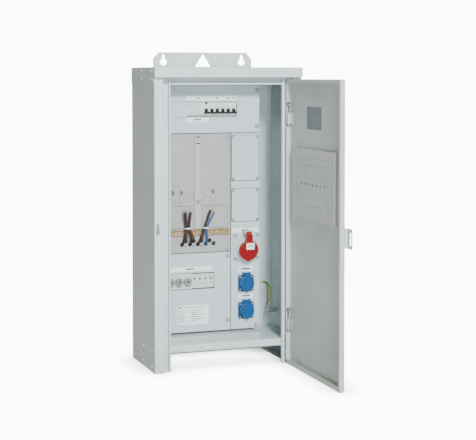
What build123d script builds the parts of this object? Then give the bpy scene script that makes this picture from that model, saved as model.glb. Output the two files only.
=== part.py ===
"""Site power distribution box: a folded sheet steel cabinet with its door open.

Millimetres. The origin is the middle of the rear face's bottom edge, +Z is up,
the door side looks along -Y, and the door is modelled where it stands open.
"""

import math
import os

from build123d import *

os.makedirs("parts", exist_ok=True)

# Case: outside sizes of the folded body and its roof
case_width = 464.0
case_depth = 249.0
case_height = 907.0
wall_sheet = 2.0
fold_radius = 1.2
bend_gap = 0.2
post_width_left = 28.6
post_width_right = 24.5
door_recess = 24.6
stile_inset = 54.5
lintel_height = 53.0
opening_bottom = 75.0
gutter_reach = 11.0
gutter_lip = 6.0
rear_flange = 12.0
roof_overhang = 13.5
roof_lip = 30.0
roof_cap = 47.0
sill_height = 19.5
sill_lip = 8.0
tray_flange = 18.0

# Hanging tongue of the rear wall
tongue_width = 328.0
tongue_margin = 7.0
tongue_chamfer = 19.0
keyhole_spacing = 260.0
keyhole_rise = 18.0
keyhole_radius = 11.0
keyhole_slot = 9.0
keyhole_length = 23.0
triangle_width = 52.0
triangle_rise = 3.0
triangle_margin = 5.0

# Foot angles and the cable opening in the tray
foot_leg = 35.0
foot_hole_radius = 4.5
foot_hole_pitch = 78.0
foot_hole_inset = 27.0
cable_opening_width = 290.0
cable_opening_depth = 66.0
cable_opening_inset = 20.0

# Rivets of the case
rivet_head = 3.6
rivet_rise = 1.3
rivet_bevel = 0.8
lintel_rivet_head = 2.2
lintel_rivet_x = 62.7
lintel_rivet_drop = 41.0

# Inner panel of covers
cover_setback = 84.3
cover_sheet = 2.0
cover_return = 12.0
cover_space_left = 42.0
cover_space_right = 102.0
cover_space_top = 39.0
cover_bottom = 100.2
cover_gap = 2.0
top_cover_height = 161.7
low_split = 341.8
column_width = 94.0
upright_width = 16.0
plinth_top = 96.0
plinth_behind_frame = 14.4
plinth_depth = 90.0
plinth_inset = 14.0

# Device rows
module = 17.7
device_row_drop = 88.5
device_window = 46.5
window_corner = 2.2
window_gap = 1.6
device_proud = -1.0
device_depth = 68.0
nose_depth = 22.0
shoulder_height = 85.0
rail_height = 35.0
rail_depth = 7.5
rail_sheet = 1.0
rail_fold = 0.5
residual_modules = 4
breaker_poles = 3
single_breakers = 2
window_inset = 14.2
blank_modules = 4
toggle_hub = 6.0
toggle_gap = 0.4
toggle_drop = 3.5
toggle_lever = 13.0
toggle_thick = 3.2
toggle_width = 9.0
toggle_tip_width = 16.5
toggle_tip_radius = 2.6
toggle_tip_reach = 11.0
toggle_off_angle = 35.0
test_button_radius = 3.4
test_button_travel = 1.2
test_button_rise = 18.6

# Lower row: screw fuses and surge arrester
fuse_row = 256.0
fuse_window = 50.5
fuse_pitch = 27.0
fuse_count = 3
fuse_cap_radius = 12.0
fuse_cap_length = 9.0
surge_modules = 4
fuse_inset = 18.8

# Meter board
board_sheet = 3.0
field_groove = 1.2
field_depth = 2.2
meter_rail_x = -71.3
meter_rail_width = 19.5
meter_rail_depth = 5.0
meter_rail_drop = 9.3
meter_foot_z = 513.0
meter_foot_height = 16.0
meter_foot_width = 27.0
field_top = 486.0
terminal_rail_z = 406.5
terminal_rail_height = 18.0
terminal_rail_depth = 7.0
field_inset = 9.0
wire_hole_z = 369.5
wire_hole_rise = 9.5
wire_hole_pitch = 25.2
wire_hole_radius = 5.6
wire_hole_left = -120.7
pilot_hole_radius = 2.4
pilot_hole_drop = 6.0
hook_height = 38.0
hook_width = 13.0
hook_rise = 3.5

# Blanking covers of the socket column
blank_width = 88.0
blank_from_edge = 47.0
blank_upper_bottom = 559.5
blank_upper_drop = 7.3
blank_lower = (434.0, 535.0)
blank_sheet = 2.0
screw_radius = 3.8
small_screw_radius = 2.6
screw_rise = 2.0

# Three-phase socket with a sprung lid
three_from_edge = 44.5
three_flange = 84.0
three_flange_z = 355.5
three_screws = 71.0
three_plate = 6.0
three_axis_z = 350.0
three_tilt = 9.0
three_collar_radius = 29.0
three_collar_wall = 3.0
three_collar_length = 22.0
three_insert_radius = 20.0
three_lid_radius = 31.0
three_lid_thick = 7.0
three_neck_width = 18.0
three_hinge_z = 401.0
three_hinge_reach = 24.0
lid_gap = 0.4

# Domestic sockets with hinged lids
domestic_from_edge = 45.3
domestic_z = (242.2, 158.4)
domestic_flange = 51.0
domestic_screws = 38.3
domestic_plate = 5.0
domestic_pot_radius = 19.5
domestic_rim = 2.4
domestic_rim_length = 5.0
domestic_lid_radius = 23.2
domestic_lid_thick = 5.5
domestic_hinge_rise = 30.5
domestic_hinge_reach = 9.5
domestic_hinge_width = 25.0
lid_pin_radius = 1.6
pin_clearance = 0.05

# Turn clips that hold the covers
clip_width = 13.0
clip_corner = 3.5
clip_rise = 3.0
clip_wing = 2.0

# Door
door_hinge_gap = 5.75
door_bottom = 3.0
door_top_drop = 35.5
door_depth = 15.5
door_sheet = 1.5
door_lip = 11.0
door_fold = 2.0
hinge_from_edge = 6.5
hinge_from_skin = 9.5
door_gap = 1.65
door_proud = 4.6
open_angle = 89.6

# Concealed pin hinges
pin_radius = 2.5
barrel_radius = 4.7
barrel_length = 34.0
ear_thick = 3.0
ear_half_width = 4.0
ear_span = 64.8
hinge_upper_drop = 111.5
hinge_lower_top = 165.5
notch_depth = 13.4
notch_margin = 2.5
pin_head = 6.0

# Hasp on the door and staple on the post
lock_z = 431.0
hasp_height = 56.0
hasp_step = 5.5
hasp_reach = 34.0
hasp_sheet = 2.0
hasp_leg = 26.0
hasp_slot_height = 36.0
hasp_slot_width = 10.0
hasp_slot_from_edge = 23.0
staple_thick = 4.0
staple_height = 30.0
staple_reach = 24.0
staple_eye = 4.2
staple_foot = 3.0

# Document pocket on the inside of the door
pocket_from_hinge = (36.0, 346.0)
pocket_z = (459.0, 667.0)
pocket_sheet = 1.2
pocket_depth = 9.0

# Earth terminal and its lead
earth_y = -44.0
earth_z = 130.0
earth_stud = 4.0
earth_stud_length = 34.0
earth_collar = 16.0
earth_lead = 6.0
lug_thick = 1.6

# Meter tails
tail_diameter = 6.0
tail_front = 17.4
tail_layer = 6.5
tail_tie_z = 420.0
tie_width = 3.0
tie_gap = 0.1
tail_bare = 1.2
tail_bare_length = 11.0

# Places worked out from the sizes above
x_wall = case_width / 2
y_front = -case_depth
y_frame = y_front + door_recess
x_post_left = -x_wall + post_width_left
x_post_right = x_wall - post_width_right
x_open = x_wall - stile_inset
z_under_roof = case_height - wall_sheet
opening_top = case_height - lintel_height
keyhole_height = case_height + keyhole_rise
keyhole_top = keyhole_height + keyhole_length
tongue_top = keyhole_top + tongue_margin
triangle_bottom = case_height + triangle_rise
triangle_top = tongue_top - triangle_margin
cover_left = x_wall - cover_space_left
cover_right = x_wall - cover_space_right
cover_top = case_height - cover_space_top
top_split = cover_top - top_cover_height
device_row = cover_top - device_row_drop
y_cover = y_front + cover_setback
y_upright = y_cover + cover_return
y_nose = y_cover - device_proud
y_rail = y_nose + device_depth
x_column = cover_right - column_width
field_right = x_column - field_inset
meter_rail_top = top_split - meter_rail_drop
blank_centre = cover_right - blank_from_edge
blank_upper = (blank_upper_bottom, top_split - blank_upper_drop)
three_x = cover_right - three_from_edge
domestic_x = cover_right - domestic_from_edge
door_width = x_post_right - x_post_left - door_gap - door_hinge_gap
door_top = case_height - door_top_drop
hinge_tops = (case_height - hinge_upper_drop, hinge_lower_top)
z_board = low_split + cover_gap / 2
skin_y = y_front - door_proud
hinge_x = x_post_left + door_gap + door_width - hinge_from_edge
hinge_y = skin_y + hinge_from_skin


def block(xs, ys, zs):
    """Solid brick between the two corners that the three ranges give."""
    size = (abs(xs[1] - xs[0]), abs(ys[1] - ys[0]), abs(zs[1] - zs[0]))
    corner = (min(xs), min(ys), min(zs))
    return Pos(*corner) * Box(*size, align=(Align.MIN, Align.MIN, Align.MIN))


def bar(start, direction, radius, length):
    """Round bar from a point along a direction."""
    place = Plane(origin=start, z_dir=direction)
    return place * Cylinder(radius, length, align=(Align.CENTER, Align.CENTER, Align.MIN))


def prism_x(points, x_from, x_to):
    """Straight prism along X with its section given as (y, z) points."""
    face = Plane.YZ * make_face(Polyline(*points, close=True))
    return Pos(x_from, 0, 0) * extrude(face, amount=x_to - x_from, dir=(1, 0, 0))


def folded_section(points, sheet, inner_radius=fold_radius):
    """Section of one folded sheet; the sheet lies left of the path of points."""
    path = [Vector(*p) for p in points]
    ways = [(b - a).normalized() for a, b in zip(path, path[1:])]
    normals = [Vector(-w.Y, w.X) for w in ways]
    far = [path[0] + normals[0] * sheet]
    radii_near = []
    radii_far = []
    for i in range(1, len(path) - 1):
        n_in, n_out = normals[i - 1], normals[i]
        far.append(path[i] + (n_in + n_out) * (sheet / (1 + n_in.dot(n_out))))
        left_turn = ways[i - 1].X * ways[i].Y - ways[i - 1].Y * ways[i].X > 0
        radii_near.append(inner_radius + sheet if left_turn else inner_radius)
        radii_far.append(inner_radius if left_turn else inner_radius + sheet)
    far.append(path[-1] + normals[-1] * sheet)
    outline = path + far[::-1]
    radii = [0.0] + radii_near + [0.0, 0.0] + radii_far[::-1] + [0.0]
    return make_face(FilletPolyline(*outline, radius=radii, close=True))


def folded_wall(points, sheet, z_from, z_to):
    """Folded sheet with its section in plan, standing between two heights."""
    return Pos(0, 0, z_from) * extrude(folded_section(points, sheet), amount=z_to - z_from)


def folded_beam(points, sheet, x_from, x_to, inner_radius=fold_radius):
    """Folded sheet with its section in (y, z), lying along X."""
    face = Plane.YZ * folded_section(points, sheet, inner_radius)
    return Pos(x_from, 0, 0) * extrude(face, amount=x_to - x_from, dir=(1, 0, 0))


def pan(xs, zs, y_face, sheet, depth, corner):
    """Shallow cover: a flat front with its four edges folded back."""
    outer = block(xs, (y_face, y_face + depth), zs)
    outer = fillet(outer.edges().group_by(Axis.Y)[0], corner)
    inner = block(
        (xs[0] + sheet, xs[1] - sheet),
        (y_face + sheet, y_face + depth),
        (zs[0] + sheet, zs[1] - sheet),
    )
    return outer - inner


def window(xs, zs, y_face, depth, corner):
    """Cutter for a rounded cut-out through a sheet that faces -Y."""
    hole = block(xs, (y_face - depth, y_face + depth), zs)
    return fillet(hole.edges().filter_by(Axis.Y), corner)


def pan_screw(x, y, z, radius=screw_radius):
    """Low pan head seen from the front, with a shallow driver slot."""
    head = bar((x, y, z), (0, -1, 0), radius, screw_rise)
    head = chamfer(head.edges().group_by(Axis.Y)[0], screw_rise * 0.4)
    slot = block((x - radius, x + radius), (y - screw_rise, y - screw_rise * 0.5), (z - 0.5, z + 0.5))
    return head - slot


def save(name, shape):
    """Write one piece, or one set of like pieces, as its own file."""
    shape.label = name
    export_step(shape, f"parts/{name}.step")


def group(solids):
    """Like pieces that share a node, kept as separate solids."""
    return Compound(children=[s if isinstance(s, Solid) else s.solids()[0] for s in solids])


# Side walls: each is one sheet folded through rear flange, side, front post,
# recess, frame stile and the rain gutter round the opening.
def side_wall(side, x_post):
    """Side wall for one side, -1 for left and +1 for right."""
    points = [
        (-x_wall + rear_flange, -wall_sheet),
        (-x_wall, -wall_sheet),
        (-x_wall, y_front),
        (-abs(x_post), y_front),
        (-abs(x_post), y_frame),
        (-x_open - wall_sheet, y_frame),
        (-x_open - wall_sheet, y_frame - gutter_reach + wall_sheet),
        (-x_open - gutter_lip, y_frame - gutter_reach + wall_sheet),
    ]
    wall = folded_wall(points, wall_sheet, 0, z_under_roof)
    return wall if side < 0 else mirror(wall, about=Plane.YZ)


side_wall_left = side_wall(-1, x_post_left)
side_wall_right = side_wall(1, x_post_right)

# Rear wall with its hanging tongue: keyholes for two wall bolts and a
# triangular hole in the middle.
x_key = keyhole_spacing / 2
outline = Polyline(
    (-x_wall, 0),
    (x_wall, 0),
    (x_wall, z_under_roof),
    (tongue_width / 2, z_under_roof),
    (tongue_width / 2, tongue_top - tongue_chamfer),
    (tongue_width / 2 - tongue_chamfer, tongue_top),
    (-tongue_width / 2 + tongue_chamfer, tongue_top),
    (-tongue_width / 2, tongue_top - tongue_chamfer),
    (-tongue_width / 2, z_under_roof),
    (-x_wall, z_under_roof),
    close=True,
)
keyholes = Sketch()
for x in (-x_key, x_key):
    slot_end = keyhole_top - keyhole_slot / 2
    keyholes += Pos(x, keyhole_height) * Circle(keyhole_radius)
    keyholes += Pos(x, slot_end) * Circle(keyhole_slot / 2)
    slot_middle = (keyhole_height + slot_end) / 2
    keyholes += Pos(x, slot_middle) * Rectangle(keyhole_slot, slot_end - keyhole_height)
triangle = make_face(
    Polyline(
        (-triangle_width / 2, triangle_bottom),
        (triangle_width / 2, triangle_bottom),
        (0, triangle_top),
        close=True,
    )
)
rear_wall = extrude(Plane.XZ * (make_face(outline) - keyholes - triangle), amount=wall_sheet)

# Roof: a pressed cap with a deep front lip and side caps outside the walls.
roof_y_front = y_front - roof_overhang
x_roof = x_wall + wall_sheet
z_cap = case_height - roof_cap
roof = block((-x_roof, x_roof), (roof_y_front, -wall_sheet), (z_cap, case_height))
roof_edges = roof.edges().group_by(Axis.Z)[-1].filter_by(lambda e: e.center().Y < -wall_sheet - 1)
roof = fillet(roof_edges, wall_sheet + fold_radius)
roof -= block((-x_wall, x_wall), (roof_y_front + wall_sheet, 0), (z_cap, z_under_roof))
roof -= block((-x_roof, x_roof), (roof_y_front, y_front), (z_cap, case_height - roof_lip))
roof += block(
    (-x_wall + 2 * rear_flange, x_wall - 2 * rear_flange),
    (-2 * wall_sheet, -wall_sheet),
    (z_under_roof - roof_overhang, z_under_roof),
)

# Lintel over the opening, folded like the stiles, with the same gutter.
lintel = folded_beam(
    [
        (y_frame + tray_flange, z_under_roof),
        (y_frame, z_under_roof),
        (y_frame, opening_top + wall_sheet),
        (y_frame - gutter_reach + wall_sheet, opening_top + wall_sheet),
        (y_frame - gutter_reach + wall_sheet, opening_top + gutter_lip),
    ],
    wall_sheet,
    -x_open,
    x_open,
)

# Floor tray: its front edge is the sill, its sides are riveted to the walls,
# and the cable opening lies behind the covers.
y_stile_back = y_frame + wall_sheet
z_sill = opening_bottom - sill_height
sill = folded_beam(
    [
        (-2 * wall_sheet, opening_bottom - tray_flange),
        (-2 * wall_sheet, opening_bottom),
        (y_frame, opening_bottom),
        (y_frame, z_sill + wall_sheet),
        (y_frame - sill_lip, z_sill + wall_sheet),
    ],
    wall_sheet,
    -x_open,
    x_open,
)
x_tray = x_wall - wall_sheet
y_tray = -2 * wall_sheet - fold_radius - bend_gap
tray_side = folded_section(
    [
        (x_open, opening_bottom - wall_sheet),
        (x_tray - wall_sheet, opening_bottom - wall_sheet),
        (x_tray - wall_sheet, opening_bottom - tray_flange),
    ],
    wall_sheet,
)
tray_side = Pos(0, y_tray, 0) * extrude(Plane.XZ * tray_side, amount=y_tray - y_stile_back)
cable_y = -cable_opening_inset - cable_opening_depth
cable_x = (cover_right - cover_left) / 2
cable_cut = block(
    (cable_x - cable_opening_width / 2, cable_x + cable_opening_width / 2),
    (cable_y, -cable_opening_inset),
    (z_sill, opening_bottom + wall_sheet),
)
floor_tray = sill + tray_side + mirror(tray_side, about=Plane.YZ)
floor_tray -= fillet(cable_cut.edges().filter_by(Axis.Z), foot_hole_radius)

# Foot angles: inside the walls at the floor, with holes for ground anchors.
foot_y = (y_stile_back, y_tray)
foot_middle = (foot_y[0] + foot_y[1]) / 2
foot = folded_section(
    [
        (-x_tray, foot_leg),
        (-x_tray, 0),
        (-x_tray + foot_leg, 0),
    ],
    wall_sheet,
)
foot = Pos(0, foot_y[1], 0) * extrude(Plane.XZ * foot, amount=foot_y[1] - foot_y[0])
foot_hole_x = x_tray - foot_hole_inset
for step in (-1, 0, 1):
    start = (-foot_hole_x, foot_middle + step * foot_hole_pitch, -1)
    foot -= bar(start, (0, 0, 1), foot_hole_radius, 2 * wall_sheet)
foot_angles = group([foot, mirror(foot, about=Plane.YZ)])

# Blind rivets that join roof, tray and feet to the walls, and two in the lintel.
rivet_rows = (case_height - roof_cap + 11.5, case_height - 10.0)
rivets = []


def rivet(x_face, side, y, z):
    """Low rivet head standing on a side face."""
    head = bar((x_face, y, z), (side, 0, 0), rivet_head, rivet_rise)
    return chamfer(head.edges().sort_by(Axis.X)[-1 if side > 0 else 0], rivet_bevel)


for side in (-1, 1):
    for y in (-9.0, -case_depth / 2 + 9.0, y_front + 19.0):
        for z in rivet_rows:
            rivets.append(rivet(side * x_roof, side, y, z))
    for y in (-14.0, -case_depth / 2, y_front + 31.5):
        for z in (foot_leg / 2, opening_bottom - tray_flange / 2 - 4.5):
            rivets.append(rivet(side * x_wall, side, y, z))
for x in (-lintel_rivet_x, lintel_rivet_x):
    place = (x, y_frame, case_height - lintel_rivet_drop)
    head = bar(place, (0, -1, 0), lintel_rivet_head, rivet_rise)
    rivets.append(chamfer(head.edges().group_by(Axis.Y)[0], rivet_bevel))
case_rivets = group(rivets)

# Plinth on the tray below the covers, and the uprights that stand on it and
# reach the roof: the covers are clipped to their front flanges and the device
# rails rest on the rear ones.
x_up_left = -cover_left + cover_sheet
x_up_right = cover_right - cover_sheet
upright = folded_wall(
    [
        (x_up_left + upright_width, y_upright),
        (x_up_left, y_upright),
        (x_up_left, y_rail + wall_sheet),
        (x_up_left + upright_width, y_rail + wall_sheet),
    ][::-1],
    wall_sheet,
    plinth_top,
    z_under_roof,
)
y_plinth = y_frame + plinth_behind_frame
plinth = folded_beam(
    [
        (y_plinth, opening_bottom),
        (y_plinth, plinth_top),
        (y_plinth + plinth_depth, plinth_top),
        (y_plinth + plinth_depth, opening_bottom),
    ][::-1],
    wall_sheet,
    x_up_left,
    cover_right - plinth_inset,
)
upright_shift = x_up_left + x_up_right
panel_uprights = group([upright, Pos(upright_shift, 0, 0) * mirror(upright, about=Plane.YZ), plinth])

# Top cover with the rounded window for the device row.
window_left = window_inset - cover_left
row_left = window_left + blank_modules * module
row_right = row_left + (residual_modules + breaker_poles + single_breakers) * module
window_half = device_window / 2
x_covers = (-cover_left, cover_right)
top_cover = pan(x_covers, (top_split + cover_gap / 2, cover_top), y_cover, cover_sheet, cover_return, 1.5)
top_cover -= window(
    (window_left - window_gap, row_right + window_gap),
    (device_row - window_half, device_row + window_half),
    y_cover,
    2 * cover_sheet,
    window_corner,
)

# Lower cover with the window for the fuses and the surge arrester.
fuse_left = fuse_inset - cover_left
surge_right = fuse_left + fuse_count * fuse_pitch + surge_modules * module
fuse_half = fuse_window / 2
x_seam = x_column - cover_gap / 2
lower_cover = pan(
    (-cover_left, x_seam),
    (cover_bottom, low_split - cover_gap / 2),
    y_cover,
    cover_sheet,
    cover_return,
    1.5,
)
lower_cover -= window(
    (fuse_left - window_gap, surge_right + window_gap),
    (fuse_row - fuse_half, fuse_row + fuse_half),
    y_cover,
    2 * cover_sheet,
    window_corner,
)

# Socket column: one narrow cover from the top split to the bottom, pierced
# behind each socket and behind the two blanked fields.
column = pan(
    (x_column + cover_gap / 2, cover_right),
    (cover_bottom, top_split - cover_gap / 2),
    y_cover,
    cover_sheet,
    cover_return,
    1.5,
)
for low, high in (blank_upper, blank_lower):
    inset = 16.0
    column -= window(
        (blank_centre - blank_width / 2 + inset, blank_centre + blank_width / 2 - inset),
        (low + inset, high - inset),
        y_cover,
        2 * cover_sheet,
        4.0,
    )
column -= bar((three_x, y_cover - 3, three_flange_z), (0, 1, 0), three_collar_radius, 8)
for z in domestic_z:
    column -= bar((domestic_x, y_cover - 3, z), (0, 1, 0), domestic_pot_radius + domestic_rim, 8)
socket_column = column

# Blanking covers over the two unused fields of the column.
blank_covers = []
for low, high in (blank_upper, blank_lower):
    plate = block(
        (blank_centre - blank_width / 2, blank_centre + blank_width / 2),
        (y_cover - blank_sheet, y_cover),
        (low, high),
    )
    plate = fillet(plate.edges().filter_by(Axis.Y), 4.0)
    blank_covers.append(chamfer(plate.edges().group_by(Axis.Y)[0], 0.6))
blank_covers = group(blank_covers)

# Screws of the blanking covers, sockets, meter rail and terminal rail.
screws = []
screw_inset = 5.2
for low, high in (blank_upper, blank_lower):
    for x in (-1, 1):
        for z in (low + screw_inset, high - screw_inset):
            x_screw = blank_centre + x * (blank_width / 2 - screw_inset)
            screws.append(pan_screw(x_screw, y_cover - blank_sheet, z))
for x in (-1, 1):
    for z in (-1, 1):
        x_screw = three_x + x * three_screws / 2
        z_screw = three_flange_z + z * three_screws / 2
        screws.append(pan_screw(x_screw, y_cover - three_plate, z_screw))
        for centre in domestic_z:
            x_screw = domestic_x + x * domestic_screws / 2
            z_screw = centre + z * domestic_screws / 2
            screws.append(pan_screw(x_screw, y_cover - domestic_plate, z_screw, small_screw_radius))

# Device housings: one closed moulding per device, with the stepped outline
# that lets its nose show through the window.
y_shoulder = y_nose + nose_depth
y_back = y_rail - rail_depth
pivot_y = y_nose + 2.5
pivot_z = device_row - toggle_drop


def housing(x_from, modules, row, nose_height):
    """Stepped device housing on its rail."""
    x_to = x_from + modules * module - 0.2
    half = nose_height / 2 - window_gap
    tall = shoulder_height / 2
    points = [
        (y_nose, row - half),
        (y_nose, row + half),
        (y_shoulder, row + half),
        (y_shoulder, row + tall),
        (y_back, row + tall),
        (y_back, row - tall),
        (y_shoulder, row - tall),
        (y_shoulder, row - half),
    ]
    body = prism_x(points, x_from, x_to)
    front = body.edges().group_by(Axis.Y)[0].filter_by(Axis.X)
    return fillet(front, 1.2)


def toggle_recess(x_centre, width):
    """Cylindrical pocket that a toggle hub turns in."""
    start = (x_centre - width / 2, pivot_y, pivot_z)
    return bar(start, (1, 0, 0), toggle_hub + toggle_gap, width)


def toggle(x_centre, width, tip_width=toggle_tip_width):
    """Hub, lever and cross tip of one toggle, hanging in the off position."""
    hub = bar((x_centre - width / 2, pivot_y, pivot_z), (1, 0, 0), toggle_hub, width)
    lever = block(
        (x_centre - toggle_width / 2, x_centre + toggle_width / 2),
        (-toggle_lever, 0),
        (-toggle_thick / 2, toggle_thick / 2),
    )
    lever = fillet(lever.edges().group_by(Axis.Y)[0].filter_by(Axis.X), 1.2)
    lever += bar((x_centre - tip_width / 2, -toggle_tip_reach, 0), (1, 0, 0), toggle_tip_radius, tip_width)
    return hub + Pos(0, pivot_y, pivot_z) * Rot(toggle_off_angle, 0, 0) * lever


def module_centre(first, index):
    """Middle of a module, counted from a device's left edge."""
    return first + (index + 0.5) * module


hub_width = toggle_width
residual_device = housing(row_left, residual_modules, device_row, device_window)
residual_x = module_centre(row_left, residual_modules - 1)
residual_device -= toggle_recess(residual_x, hub_width + 0.6)
button_z = device_row + test_button_rise
residual_device -= bar(
    (residual_x, y_nose - 1, button_z), (0, 1, 0), test_button_radius + 0.2, 5.0
)
residual_toggle = toggle(residual_x, hub_width)
test_button = bar((residual_x, y_nose + 3.7 - test_button_travel, button_z), (0, -1, 0), test_button_radius, 4.0)
test_button = fillet(test_button.edges().group_by(Axis.Y)[0], 0.8)

breaker_x = row_left + residual_modules * module
three_pole_breaker = housing(breaker_x, breaker_poles, device_row, device_window)
three_pole_toggle = None
for pole in range(breaker_poles):
    centre = module_centre(breaker_x, pole)
    three_pole_breaker -= toggle_recess(centre, hub_width + 0.6)
    tied_width = 2 * module + toggle_tip_width if pole == 1 else toggle_tip_width
    lever = toggle(centre, hub_width, tied_width)
    three_pole_toggle = lever if three_pole_toggle is None else three_pole_toggle + lever

single_x = breaker_x + breaker_poles * module
single_bodies = []
single_toggles = []
for index in range(single_breakers):
    centre = module_centre(single_x, index)
    body = housing(single_x + index * module, 1, device_row, device_window)
    single_bodies.append(body - toggle_recess(centre, hub_width + 0.6))
    single_toggles.append(toggle(centre, hub_width))

# Blanking strip that closes the unused modules of the window.
strip = block(
    (window_left, row_left - 0.4),
    (y_cover + 0.4, y_cover + cover_sheet + 1.5),
    (device_row - window_half + 0.8, device_row + window_half - 0.8),
)
for index in range(1, blank_modules):
    x_line = window_left + index * module
    strip -= block((x_line - 0.5, x_line + 0.5), (y_cover, y_cover + 1.4), (0, case_height))
for end in (-1, 1):
    z_edge = device_row + end * (window_half + 1.5)
    strip += block(
        (window_left, row_left - 0.4),
        (y_cover + cover_sheet, y_cover + cover_sheet + 1.5),
        (z_edge, device_row + end * (window_half - 2)),
    )

# Top-hat rails that carry both device rows, and the lower row's fuse base
# and surge arrester.
def hat_rail(row):
    """Top-hat rail from upright to upright."""
    crown = rail_height / 2 - 4.0
    brim = rail_height / 2
    points = [
        (y_back, row + brim),
        (y_back, row + crown),
        (y_rail - rail_sheet, row + crown),
        (y_rail - rail_sheet, row - crown),
        (y_back, row - crown),
        (y_back, row - brim),
    ]
    inset = wall_sheet + fold_radius + bend_gap
    return folded_beam(points, rail_sheet, x_up_left + inset, x_up_right - inset, rail_fold)


device_rails = group([hat_rail(device_row), hat_rail(fuse_row)])

fuse_base = housing(fuse_left, fuse_count * fuse_pitch / module, fuse_row, fuse_window)
fuse_caps = []
for index in range(fuse_count):
    x_fuse = fuse_left + (index + 0.5) * fuse_pitch - 0.1
    mouth = fuse_cap_radius + 1.0
    collar = bar((x_fuse, y_nose, fuse_row), (0, -1, 0), mouth, 2.0)
    fuse_base += collar
    fuse_base -= bar((x_fuse, y_nose - 3, fuse_row), (0, 1, 0), fuse_cap_radius - 1.2, 18)
    y_seat = y_nose - 2.0 - lid_gap
    cap = bar((x_fuse, y_seat, fuse_row), (0, -1, 0), fuse_cap_radius, fuse_cap_length)
    cap = chamfer(cap.edges().group_by(Axis.Y)[0], 1.4)
    cap -= bar((x_fuse, y_seat - fuse_cap_length, fuse_row), (0, 1, 0), 3.6, 2.2)
    for turn in range(12):
        angle = math.radians(30 * turn)
        x_rib = x_fuse + fuse_cap_radius * math.cos(angle)
        z_rib = fuse_row + fuse_cap_radius * math.sin(angle)
        cap -= bar((x_rib, y_seat, z_rib), (0, -1, 0), 1.1, fuse_cap_length - 2.4)
    cap += bar((x_fuse, y_seat, fuse_row), (0, 1, 0), fuse_cap_radius - 1.6, 14)
    fuse_caps.append(cap)

surge_x = fuse_left + fuse_count * fuse_pitch
surge_arrester = housing(surge_x, surge_modules, fuse_row, fuse_window - 4)
for index in range(surge_modules):
    centre = module_centre(surge_x, index)
    surge_arrester -= block(
        (centre - 3.2, centre + 3.2), (y_nose - 1, y_nose + 0.8), (fuse_row + 4, fuse_row + 9.5)
    )
    ring = bar((centre, y_nose + 1, fuse_row - 8), (0, -1, 0), 5.2, 1.8)
    surge_arrester += ring - bar((centre, y_nose, fuse_row - 8), (0, -1, 0), 3.6, 2)
    if index:
        groove = centre - module / 2
        surge_arrester -= block((groove - 0.3, groove + 0.3), (y_nose - 1, y_nose + 1), (0, case_height))

# Meter board: a moulded pan with two grooved fields at its foot, hook frames
# for a meter's lower feet, and the holes that the meter tails come through.
x_board = (-cover_left, x_seam)
meter_board = pan(
    x_board, (z_board, top_split - cover_gap / 2), y_cover, board_sheet, cover_return, 1.5
)
x_rail_left = meter_rail_x - meter_rail_width / 2
x_rail_right = meter_rail_x + meter_rail_width / 2
field_bottom = terminal_rail_z + terminal_rail_height / 2 + 1.5
for xs in ((-cover_left + 8, x_rail_left - 5), (x_rail_right + 5, field_right)):
    rim = block(xs, (y_cover - 1, y_cover + field_depth), (field_bottom, field_top))
    field = block(
        (xs[0] + field_groove, xs[1] - field_groove),
        (y_cover - 1, y_cover + field_depth),
        (field_bottom + field_groove, field_top - field_groove),
    )
    field = fillet(field.edges().filter_by(Axis.Y), 4.0 - field_groove)
    meter_board -= fillet(rim.edges().filter_by(Axis.Y), 4.0) - field
hole_x = [wire_hole_left + i * wire_hole_pitch for i in range(5)]
upper_x = [x + 0.45 * wire_hole_pitch for x in hole_x[:4]]
for x in hole_x:
    meter_board -= bar((x, y_cover - 1, wire_hole_z), (0, 1, 0), wire_hole_radius, 6)
for x in upper_x:
    meter_board -= bar((x, y_cover - 1, wire_hole_z + wire_hole_rise), (0, 1, 0), wire_hole_radius, 6)
for x in upper_x[:3]:
    meter_board -= bar((x, y_cover - 1, wire_hole_z - pilot_hole_drop), (0, 1, 0), pilot_hole_radius, 6)
for x_hook, z_hook in ((-150.5, 518.0), (-123.5, 518.0), (-22.5, 520.0)):
    frame = block(
        (x_hook - hook_width / 2, x_hook + hook_width / 2),
        (y_cover - hook_rise, y_cover + 1),
        (z_hook - hook_height / 2, z_hook + hook_height / 2),
    )
    for z_from, z_to in ((-0.4, -0.05), (0.06, 0.4)):
        frame -= block(
            (x_hook - hook_width / 2 + 2.5, x_hook + hook_width / 2 - 2.5),
            (y_cover - hook_rise - 1, y_cover - 0.4),
            (z_hook + z_from * hook_height, z_hook + z_to * hook_height),
        )
    meter_board += frame

# Meter rail: a slotted channel down the board with its foot clamp, on which
# a meter hangs.
y_rail_face = y_cover - meter_rail_depth
meter_rail = folded_wall(
    [
        (x_rail_left, y_cover),
        (x_rail_left, y_rail_face),
        (x_rail_right, y_rail_face),
        (x_rail_right, y_cover),
    ],
    1.5,
    field_bottom,
    meter_rail_top,
)
for z_slot in (meter_rail_top - 1.5, meter_rail_top - 21.0):
    meter_rail -= block(
        (x_rail_left + 2.5, x_rail_right - 2.5), (y_rail_face - 1, y_rail_face + 3), (z_slot - 1.6, z_slot + 1.6)
    )
y_foot_face = y_rail_face - 2.5
foot_clamp = block(
    (meter_rail_x - meter_foot_width / 2, meter_rail_x + meter_foot_width / 2),
    (y_foot_face, y_cover),
    (meter_foot_z - meter_foot_height / 2, meter_foot_z + meter_foot_height / 2),
)
foot_clamp = fillet(foot_clamp.edges().group_by(Axis.Y)[0], 1.2)
foot_clamp -= block((x_rail_left, x_rail_right), (y_rail_face, y_cover), (0, case_height))
meter_rail += foot_clamp
screws.append(pan_screw(meter_rail_x, y_rail_face, meter_rail_top - 10.5))
screws.append(pan_screw(meter_rail_x, y_rail_face, meter_foot_z - 15.0))

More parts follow.
